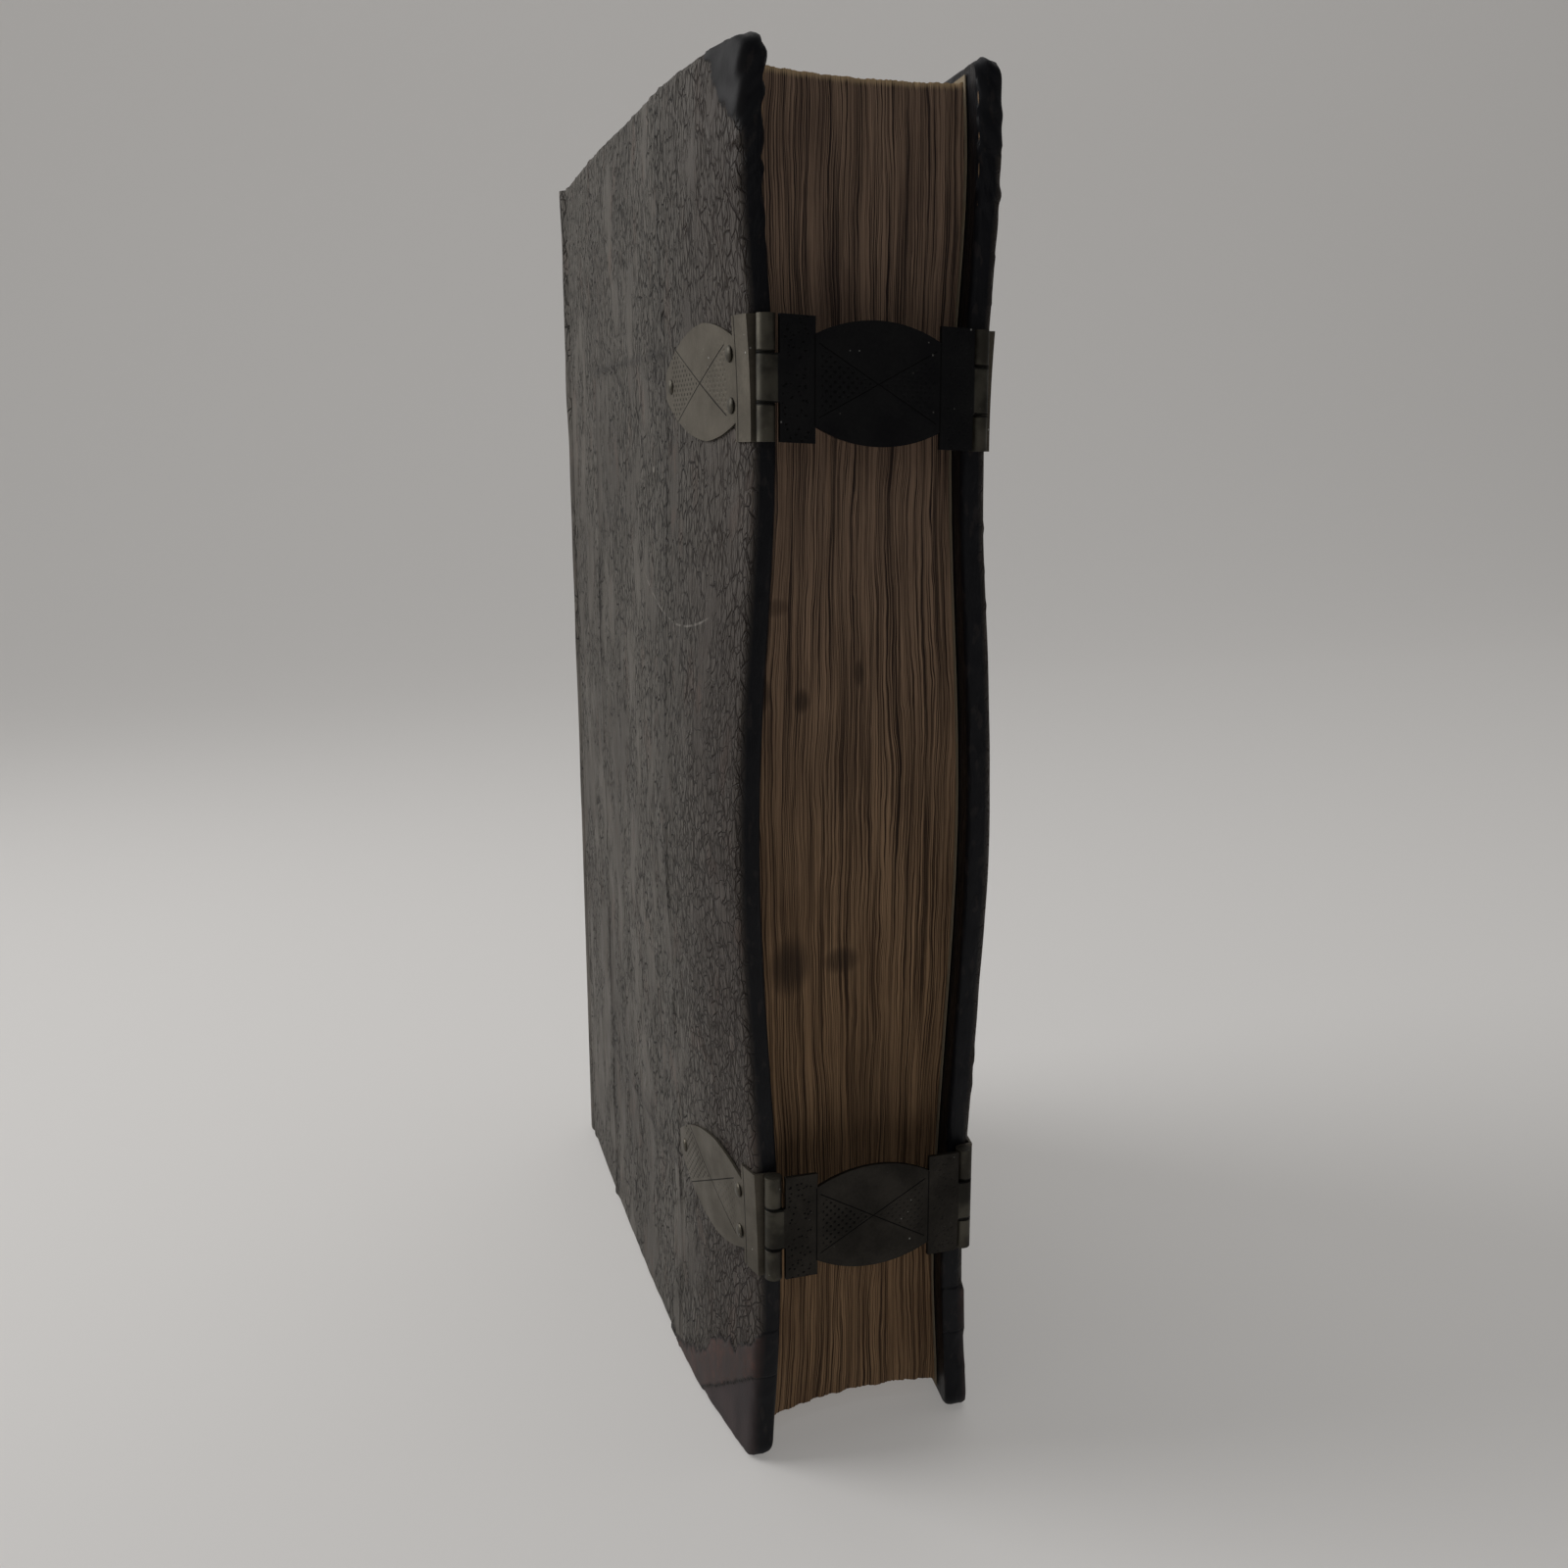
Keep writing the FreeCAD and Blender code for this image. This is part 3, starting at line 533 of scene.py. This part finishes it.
# Blind-tooled lines of the front cover: distance from the fore-edge, and height
TOOLED_ACROSS = (66.0, 176.6, 179.4)
TOOLED_UP = (66.5, 71.5, 326.5, 332.5)
TOOL_WIDTH = 0.9

# Edges of newer leather at the head, of lost skin at the tail and of newer leather there: distances
# from the fore-edge, and the heights at them
HEAD_PATCH = ((0.0, 7.4, 13.2, 18.5, 24.6, 26.0), (376, 383, 388, 395, 401, 430))
TAIL_LOSS = ((0, 6, 16, 29, 39, 51, 64, 80, 84), (43, 35, 31, 26.5, 15, 10, 4, 0, -30))
TAIL_PATCH = ((0, 20, 39, 45), (28.5, 14.7, 2.3, -30))


def stations(start, stop, steps, lines=()):
    """Stations whose spacing is steps[i] up to each bound, with three more at each tooled line."""
    found = [start]
    for bound, step in steps:
        count = max(int(round((bound - found[-1]) / step)), 1)
        found += list(np.linspace(found[-1], bound, count + 1)[1:])
    for line in lines:
        found = [value for value in found if abs(value - line) > 1.4 * TOOL_WIDTH]
        found += [line - TOOL_WIDTH, line, line + TOOL_WIDTH]
    return np.array(sorted(value for value in found if start <= value <= stop))


def cover_marks(cover, y, z):
    """Where the cover is tooled, patched with newer leather, or has lost its surface."""
    flat = np.column_stack([y, z, np.full_like(y, 7.0 * cover.side)])
    ragged = rough(flat, (4.0, 4.0, 1.0)) * 2.6 + rough(flat, (1.6, 1.6, 1.0), 9.0) * 1.2
    head = z + ragged - np.interp(y, *HEAD_PATCH)
    above = z + ragged * 1.2 - np.interp(y, *TAIL_LOSS)
    below = np.interp(y, *TAIL_PATCH) - z + ragged * 0.3
    patch = np.maximum(ease(head, -0.5, 0.5), ease(below, -0.5, 0.5))
    lost = (1 - ease(above, -0.5, 0.5)) * (1 - ease(below, -0.5, 0.5))
    tooled = np.zeros_like(y)
    between = (y > TOOLED_ACROSS[0]) & (y < TOOLED_ACROSS[-1])
    for line in TOOLED_ACROSS:
        tooled = np.maximum(tooled, 1 - np.clip(abs(y - line) / TOOL_WIDTH, 0, 1))
    for line in TOOLED_UP:
        tooled = np.maximum(tooled, (1 - np.clip(abs(z - line) / TOOL_WIDTH, 0, 1)) * between)
    tooled *= np.clip(0.75 + rough(flat, (14.0, 30.0, 1.0), 3.0), 0.15, 1.0)
    crazed = (1 - ease(y, 30, 75)) * ease(z, 30, 60) * (1 - ease(z, 190, 260))
    crazed = np.maximum(crazed, (1 - ease(y, 20, 60)) * (1 - ease(z, 60, 80)))
    return patch, lost, tooled, crazed


def skin_swell(cover, y, z):
    """Height of the leather's undulation over the cover, the same for the cover and its joint."""
    flat = np.column_stack([y, z, np.full_like(y, 3.0 * cover.side)])
    swell = rough(flat, (34.0, 52.0, 1.0)) * 0.45 + rough(flat, (7.0, 15.0, 1.0), 5.0) * 0.16
    return swell * (1 - ease(y, cover.width - 32, cover.width - 9))


def cover_leather(cover, finish):
    """One skin round the board: outer face, rounded edges with their wrinkles, and the turn-in."""
    lines = TOOLED_ACROSS if cover is FRONT else ()
    across = stations(0, cover.width, [(45, 0.85), (90, 1.5), (cover.width, 2.6)], lines) / cover.width
    half = cover.height / 2
    bend = [half - CORNER_RADIUS + CORNER_RADIUS * math.sin(math.radians(a)) for a in range(12, 91, 13)]
    rows = stations(0, half - CORNER_RADIUS, [(150, 2.4), (half - CORNER_RADIUS, 0.85)])
    rows = np.array(list(rows) + bend)
    up = np.concatenate([-rows[:0:-1], rows]) / half
    round_off = [EDGE_ROUNDING * (1 - math.cos(math.radians(a))) for a in (0, 25, 45, 65, 90)]
    depth = round_off + [3.2, 4.1] + [COVER_THICKNESS - step for step in reversed(round_off)]

    def place(u, v, w):
        edge = np.minimum(w, COVER_THICKNESS - w)
        left = np.maximum(EDGE_ROUNDING - edge, 0)
        inset = EDGE_ROUNDING - np.sqrt(np.maximum(EDGE_ROUNDING ** 2 - left ** 2, 0))
        z = half + (half - inset) * v
        start = cover.start(z, inset)
        y = start + (cover.width - start) * u
        return np.column_stack([cover.face(y + cover.fore, z) - cover.side * w, y + cover.fore, z])

    points, faces, (u, v, w) = closed_skin(place, across, up, depth)
    if cover.side < 0:
        faces = faces[:, ::-1]
    y, z = points[:, 1] - cover.fore, points[:, 2]
    patch, lost, tooled, crazed = cover_marks(cover, y, z)
    outer = 1 - ease(w, 0.0, EDGE_ROUNDING)
    rim = ease(w, 0.6, EDGE_ROUNDING - 0.4)
    inner = w >= COVER_THICKNESS - 1e-6
    reach = np.minimum(np.minimum(z, cover.height - z), y)
    under_paper = inner & (reach > TURN_IN)
    wrinkle = np.sin((z - w * 1.6 + rough(points, (6.0, 6.0, 9.0)) * 4) / 1.5)
    near_corner = ease(z, cover.height - 60, cover.height - 25) * (1 - outer * 0.6) * (1 - ease(y, 9, 18))
    on_rim = (w > 0.5) & (w < COVER_THICKNESS - 2.6)
    nibble = np.maximum(rough(points, (3.0, 3.0, 5.0), 2.0), 0) * on_rim
    swell = skin_swell(cover, y, z) * (w < COVER_THICKNESS - 1)
    swell += wrinkle * near_corner * 0.4 - nibble * (0.5 if cover is FRONT else 0.85)
    swell -= outer * (tooled * 0.8 + patch * 0.35 + lost * 0.8)
    swell = np.where(inner, 0.0, swell)
    points = points + outward(points, faces) * swell[:, None]
    points[:, 0] += np.where(under_paper, cover.side * 0.3, 0.0)
    points[:, 2] = np.maximum(points[:, 2], 0.0)
    paints = {"rim": rim, "patch": patch * (1 - inner), "lost": lost * (1 - inner),
              "tooled": tooled * outer, "crazed": crazed * outer}
    made = piece(cover.name + "_cover_skin", points, faces, finish, paints)
    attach(made, cover.name + "_cover")
    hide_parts(cover.name + "_leather")


# Page block

HOLLOW = 4.5
SPINE_LEATHER = 1.4
SPINE_LOW, SPINE_HIGH = limits("spine_leather")
SPINE_HALF = SPINE_HIGH[0]
SPINE_START = SPINE_LOW[1]
SPINE_SIDE = 6.0
SHOULDER = 9.0
BAND_HEIGHT = 2.5
SPINE_BACK = SPINE_HIGH[1] - BAND_HEIGHT
SPINE_ROUND = SPINE_BACK - SPINE_START - SPINE_SIDE
SHOULDER_X = SPINE_HALF - SHOULDER
SHOULDER_Y = SPINE_START + SPINE_SIDE
BACK_RADIUS = (SHOULDER_X ** 2 + SPINE_ROUND ** 2 - SHOULDER ** 2) / (2 * (SPINE_ROUND - SHOULDER))
BACK_CENTRE = SPINE_BACK - BACK_RADIUS
TURN_ANGLE = math.atan2(SHOULDER_Y - BACK_CENTRE, SHOULDER_X)


def page_block(finish):
    """Leaves as fine columns that wave a little, hollow at the fore-edge and fanned at the back."""
    low, high = BLOCK_LOW[2], BLOCK_HIGH[2]
    left, right = FRONT.fore + 11.0, BACK.fore + 11.0
    columns = np.linspace(0, 1, 231)
    heights = np.concatenate([low + np.array([0, 0.5, 1.4, 3.0]), np.linspace(low + 6, high - 6, 96),
                              high - np.array([3.0, 1.4, 0.5, 0])])
    leaves = [0.0, 0.002, 0.006, 0.015, 0.04, 0.1, 0.25, 0.45, 0.65, 0.82, 0.94, 1.0]
    back_angles = np.linspace(0, TURN_ANGLE, 7)
    inner = SHOULDER - SPINE_LEATHER
    side_path = [(SPINE_HALF - SPINE_LEATHER, SPINE_START), (SPINE_HALF - SPINE_LEATHER, SHOULDER_Y)]
    side_path += [(SHOULDER_X + inner * math.cos(a), SHOULDER_Y + inner * math.sin(a))
                  for a in back_angles[1:]]
    side_path = np.array(side_path)
    turn_x, turn_y = side_path[-1]
    count = len(leaves)
    steps = np.arange(count + len(side_path))

    def place(s, k, z):
        k = k.astype(int)
        hollow = left + (right - left) * s + HOLLOW * 4 * s * (1 - s)
        share = np.array(leaves)[np.minimum(k, count - 1)]
        y = hollow + (SPINE_START - 0.3 - hollow) * share
        x_left = FRONT.face(y, z) + PAPER_DEPTH
        x_right = BACK.face(y, z) - PAPER_DEPTH
        x = x_left + (x_right - x_left) * s
        free = 4 * s * (1 - s)
        lattice = np.column_stack([s * 9, y * 0.004, z])
        wave = rough(lattice, (1.0, 1.0, 75.0), 4.0) * 1.1 + rough(lattice, (0.6, 1.0, 24.0), 8.0) * 0.25
        x = x + wave * free * (1 - share)
        path = side_path[np.clip(k - count, 0, len(side_path) - 1)]
        fan = (2 * s - 1) * path[:, 0]
        arc = BACK_CENTRE + np.sqrt((BACK_RADIUS - SPINE_LEATHER) ** 2 - ((2 * s - 1) * turn_x) ** 2)
        climb = ((path[:, 1] - SPINE_START) / (turn_y - SPINE_START)) ** 2
        back_y = path[:, 1] + (arc - turn_y) * climb
        behind = k >= count
        return np.column_stack([np.where(behind, fan, x), np.where(behind, back_y, y), z])

    points, faces, (s, k, z) = closed_skin(place, columns, steps, heights)
    share = np.where(k < count, np.array(leaves)[np.minimum(k.astype(int), count - 1)], 1.0)
    comb = np.column_stack([s, np.zeros_like(s), points[:, 2] / 300])
    ridge = rough(comb, (0.009, 1.0, 1.0), 1.0) * 0.28 + rough(comb, (0.035, 1.0, 1.0), 6.0) * 0.4
    fore = 1 - ease(share, 0.0, 0.03)
    inside = ease(s, 0.0, 0.02) * (1 - ease(s, 0.98, 1.0))
    points[:, 1] += ridge * fore * inside
    brim = ease(z, high - 2.0, high) - (1 - ease(z, low, low + 2.0))
    comb = np.column_stack([s, points[:, 1] / 300, np.zeros_like(s)])
    points[:, 2] += (rough(comb, (0.011, 1.0, 1.0), 2.0) * 0.3 - 0.3) * brim * inside
    worn = fore * (ease(z, high - 5.0, high) + 1 - ease(z, low, low + 5.0))
    points[:, 1] += worn * 0.9 * inside * (0.6 + rough(comb, (0.05, 1.0, 1.0), 3.0))
    made = piece("page_block", points, faces, finish, {"leaf": s * 56.0}, 60.0)
    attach(made, "block")
    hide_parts("text_block")


# Spine

BANDS = [limits("sewing_band_%d" % number) for number in range(1, 6)]


def spine_skin(finish):
    """Leather over the rounded back, moulded over the raised bands and rolled in at head and tail."""
    low, high = SPINE_LOW[2], SPINE_HIGH[2]
    straight = np.linspace(SPINE_START, SHOULDER_Y, 5)
    around = [(SPINE_HALF, y, 0.0) for y in straight]
    around += [(SHOULDER_X + SHOULDER * math.cos(a), SHOULDER_Y + SHOULDER * math.sin(a), a)
               for a in np.linspace(0, TURN_ANGLE, 9)[1:]]
    around += [(BACK_RADIUS * math.cos(a), BACK_CENTRE + BACK_RADIUS * math.sin(a), a)
               for a in np.linspace(TURN_ANGLE, math.pi / 2, 22)[1:]]
    right_side = np.array(around)
    left_side = right_side[-2::-1] * (-1, 1, -1) + (0, 0, math.pi)
    path = np.concatenate([right_side, left_side])
    turn_x = BACK_RADIUS * math.cos(TURN_ANGLE)
    edges = [low, low + 0.4, low + 1.0, low + 1.8, low + 3.0, low + 5.0]
    heights = set(edges) | {low + high - edge for edge in edges}
    heights |= set(np.linspace(low + 8, high - 8, 130))
    for bottom, top in BANDS:
        heights |= set(np.linspace(bottom[2] - 5, top[2] + 5, 21))
    heights = np.array(sorted(heights))
    steps = np.arange(len(path))

    def place(k, z, w):
        x, y, angle = path[k.astype(int)].T
        crown = np.maximum(1 - (x / turn_x) ** 2, 0) * (y > SHOULDER_Y)
        raised = sum(ease(z, b[2] - 4.6, b[2] + 0.6) * (1 - ease(z, t[2] - 0.6, t[2] + 4.6))
                     for b, t in BANDS)
        end = np.minimum(z - low, high - z)
        inset = w * SPINE_LEATHER - raised * crown * BAND_HEIGHT * (1 - w)
        roll = np.clip(1 - end / 2.2, 0, 1)
        inset = inset + (1 - w) * 1.6 * (1 - np.sqrt(np.maximum(1 - roll ** 2, 0)))
        inset = inset + w * 2.6 * ease(end, 1.2, 0.6) * (crown > 0)
        return np.column_stack([x - np.cos(angle) * inset, y - np.sin(angle) * inset, z])

    points, faces, (k, z, w) = closed_skin(place, steps, heights, (0.0, 1.0))
    if np.mean((outward(points, faces) * (points - (0, 100, 200)))[w == 0]) < 0:
        faces = faces[:, ::-1]
    outer = w == 0
    worn = rough(points, (18.0, 18.0, 30.0)) * 0.3 + rough(points, (4.0, 4.0, 7.0), 7.0) * 0.12
    worn = np.where(points[:, 1] < SHOULDER_Y + 5, np.minimum(worn, 0) - 0.12, worn)
    points = points + outward(points, faces) * (worn * outer)[:, None]
    crest = np.maximum(points[:, 1] - SPINE_BACK, 0) / BAND_HEIGHT
    paints = dict.fromkeys(LEATHER_PAINTS, np.zeros(len(points)))
    paints["rim"] = ease(crest, 0.35, 1.0) * 0.5
    paints["crazed"] = ease(rough(points, (30.0, 30.0, 50.0), 2.0), 0.0, 0.4)
    made = piece("spine_skin", points, faces, finish, paints)
    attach(made, "block")
    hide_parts("spine_leather")


def joint_strip(cover, finish):
    """Leather that runs from the cover over the joint to the spine, with a fold where it meets the spine.
    """
    start, stop = cover.joint - 7.0, SPINE_START + 9.0
    across = [start, start + 1, start + 3]
    across += [cover.joint + step for step in (-2.4, -1.2, -0.5, 0.1)]
    across += [SPINE_START + step for step in (0.0, 0.8, 1.6, 2.6, 3.8, 5.2, 6.8, 8.2)]
    across.append(stop)
    up = np.linspace(1.0, cover.height - 1.0, 160)

    def place(y, z, w):
        swell = skin_swell(cover, y - cover.fore, z)
        settle = ease(y, cover.joint - 3, SPINE_START)
        shoulder = SHOULDER_X + np.sqrt(SHOULDER ** 2 - np.maximum(y - SHOULDER_Y, 0) ** 2)
        base = np.abs(cover.face(y, z)) * (1 - settle) + shoulder * settle + swell * (1 - settle)
        middle = (cover.joint + SPINE_START) / 2
        lift = 0.22 - 0.55 * np.exp(-((y - middle) / 0.9) ** 2)
        lift = lift - 0.5 * (1 - ease(y, start, start + 2)) - 0.5 * ease(y, stop - 1.6, stop)
        fold = 0.3 + 1.5 * (z / cover.height) ** 1.5
        fold = fold * (1 + rough(np.column_stack([y, z, z * 0]), (9.0, 26.0, 1.0), 4.0) * 0.5)
        lift = lift + fold * np.exp(-((y - SPINE_START - 3.4) / 2.3) ** 2)
        return np.column_stack([cover.side * (base + lift - w * 0.45), y, z])

    points, faces, _ = closed_skin(place, across, up, (0.0, 1.0))
    if cover.side < 0:
        faces = faces[:, ::-1]
    paints = dict.fromkeys(LEATHER_PAINTS, np.zeros(len(points)))
    made = piece(cover.name + "_joint_skin", points, faces, finish, paints)
    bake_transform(made)


def endband(name, finish):
    """Thread wound over a core, two colours by turns."""
    low, high = limits(name)
    radius = (high[2] - low[2]) / 2
    centre_z = (high[2] + low[2]) / 2
    ring = BACK_RADIUS - SPINE_LEATHER - radius
    angles = np.linspace(TURN_ANGLE + 0.01, math.pi - TURN_ANGLE - 0.01, 400)
    turns = np.linspace(0, 2 * math.pi, 17)[:-1]
    along, about = np.meshgrid(angles, turns, indexing="ij")
    wound = along * ring / 0.9
    bulge = radius * (0.9 + 0.07 * np.abs(np.sin(math.pi * wound)))
    reach = ring + bulge * np.cos(about)
    points = np.stack([reach * np.cos(along), BACK_CENTRE + reach * np.sin(along),
                       centre_z + bulge * np.sin(about)], -1)
    count = len(turns)
    numbers = np.arange(points.shape[0] * count).reshape(-1, count)
    numbers = np.concatenate([numbers, numbers[:, :1]], axis=1)
    faces = quads(numbers, False).tolist()
    first, last = numbers[0, :-1].tolist(), numbers[-1, :-1].tolist()
    faces += [first[::-1], last]
    stripe = (np.floor(wound) % 4 < 2).astype(float)
    faces = np.array(faces, dtype=object)
    made = piece(name + "_thread", points.reshape(-1, 3), faces, finish,
                 {"turns": stripe.ravel()})
    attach(made, "block")
    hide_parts(name)


def dress(finish, *names):
    """Give frame nodes a finish."""
    for name in names:
        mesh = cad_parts[name].data
        mesh.materials.clear()
        mesh.materials.append(finish)


calf = leather_finish()
cover_leather(FRONT, calf)
cover_leather(BACK, calf)
joint_strip(FRONT, calf)
joint_strip(BACK, calf)
spine_skin(calf)
page_block(page_finish())
thread = thread_finish()
endband("head_endband", thread)
endband("tail_endband", thread)
dress(endpaper_finish(), "front_flyleaf", "rear_flyleaf", "front_pastedown", "back_pastedown")
dress(oak_finish(), "front_board", "back_board")
dress(cord_finish(), *("sewing_band_%d" % number for number in range(1, 6)))
blackened = brass_finish("blackened_brass", (0.007, 0.007, 0.0085), (0.014, 0.014, 0.0145), 0.02,
                         clasp_cuts)
greened = brass_finish("greened_brass", (0.017, 0.015, 0.0125), (0.034, 0.03, 0.025), 0.02,
                       clasp_cuts)
dulled = brass_finish("dulled_brass", (0.072, 0.063, 0.049), (0.115, 0.101, 0.079), 0.04,
                      plate_cuts)
rubbed = brass_finish("rubbed_brass", (0.04, 0.036, 0.028), (0.095, 0.085, 0.066), 0.1)
dress(blackened, "top_clasp")
dress(greened, "bottom_clasp")
for place in ("top", "bottom"):
    dress(dulled, place + "_anchor_plate", place + "_catch_plate")
    dress(rubbed, place + "_hinge_pin", place + "_catch_pin")
    for side in ("front", "back"):
        dress(rubbed, *("%s_%s_rivet_%d" % (side, place, number) for number in (1, 2, 3)))


# Stage, light and camera

def stage_sweep():
    """Pale floor that turns up into a plain wall far behind the book."""
    reach, back, bend = 6.0, 2.2, 0.9
    profile = [(-reach, 0.0), (-1.0, 0.0), (0.4, 0.0)]
    profile += [(back - bend + bend * math.sin(a), bend - bend * math.cos(a))
                for a in np.linspace(0, math.pi / 2, 13)]
    profile.append((back, 6.0))
    points = [(x, y, z) for y, z in profile for x in (-reach, reach)]
    faces = [(i, i + 1, i + 3, i + 2) for i in range(0, len(points) - 2, 2)]
    mesh = bpy.data.meshes.new("sweep")
    mesh.from_pydata(points, [], faces)
    mesh.shade_smooth()
    finish = Finish("pale_sweep")
    mesh.materials.append(finish.set(Base_Color=(0.5, 0.49, 0.48), Roughness=0.7, Specular_IOR_Level=0.1,
                                      Emission_Color=(0.2, 0.194, 0.187), Emission_Strength=1.0))
    sweep = bpy.data.objects.new("sweep", mesh)
    bpy.context.scene.collection.objects.link(sweep)


def soft_lamp(name, place, aim, across, power, spread=180.0):
    """Square lamp of a given width in metres that faces aim; spread is its beam in degrees."""
    lamp = bpy.data.lights.new(name, "AREA")
    lamp.shape = "SQUARE"
    lamp.size = across
    lamp.energy = power
    lamp.spread = math.radians(spread)
    made = bpy.data.objects.new(name, lamp)
    made.location = place
    made.rotation_euler = (Vector(aim) - Vector(place)).to_track_quat("-Z", "Y").to_euler()
    bpy.context.scene.collection.objects.link(made)


def plain_world(tone, strength):
    world = bpy.data.worlds.new("studio")
    world.use_nodes = True
    background = world.node_tree.nodes["Background"]
    background.inputs["Color"].default_value = (*tone, 1.0)
    background.inputs["Strength"].default_value = strength
    bpy.context.scene.world = world


def set_camera():
    camera = bpy.data.cameras.new("camera")
    camera.lens = 34.85
    camera.sensor_width = 36.0
    camera.clip_start = 0.01
    made = bpy.data.objects.new("camera", camera)
    made.location = (-0.1531, -0.5191, 0.2977)
    made.rotation_euler = (math.radians(90 - 12.28), math.radians(0.13), math.radians(-18.29))
    bpy.context.scene.collection.objects.link(made)
    bpy.context.scene.camera = made


stage_sweep()
plain_world((0.5, 0.495, 0.485), 0.2)
soft_lamp("left_window", (-1.5, 0.7, 1.1), (0.0, 0.0, 0.2), 1.2, 6.2, 80.0)
soft_lamp("overhead", (0.4, 0.8, 3.0), (0.2, 0.8, 0.0), 3.0, 21.5)
soft_lamp("front_fill", (-0.5, -1.8, 1.2), (0.0, 0.0, 0.2), 1.0, 1.6)
set_camera()
bpy.context.scene.view_settings.view_transform = "Standard"
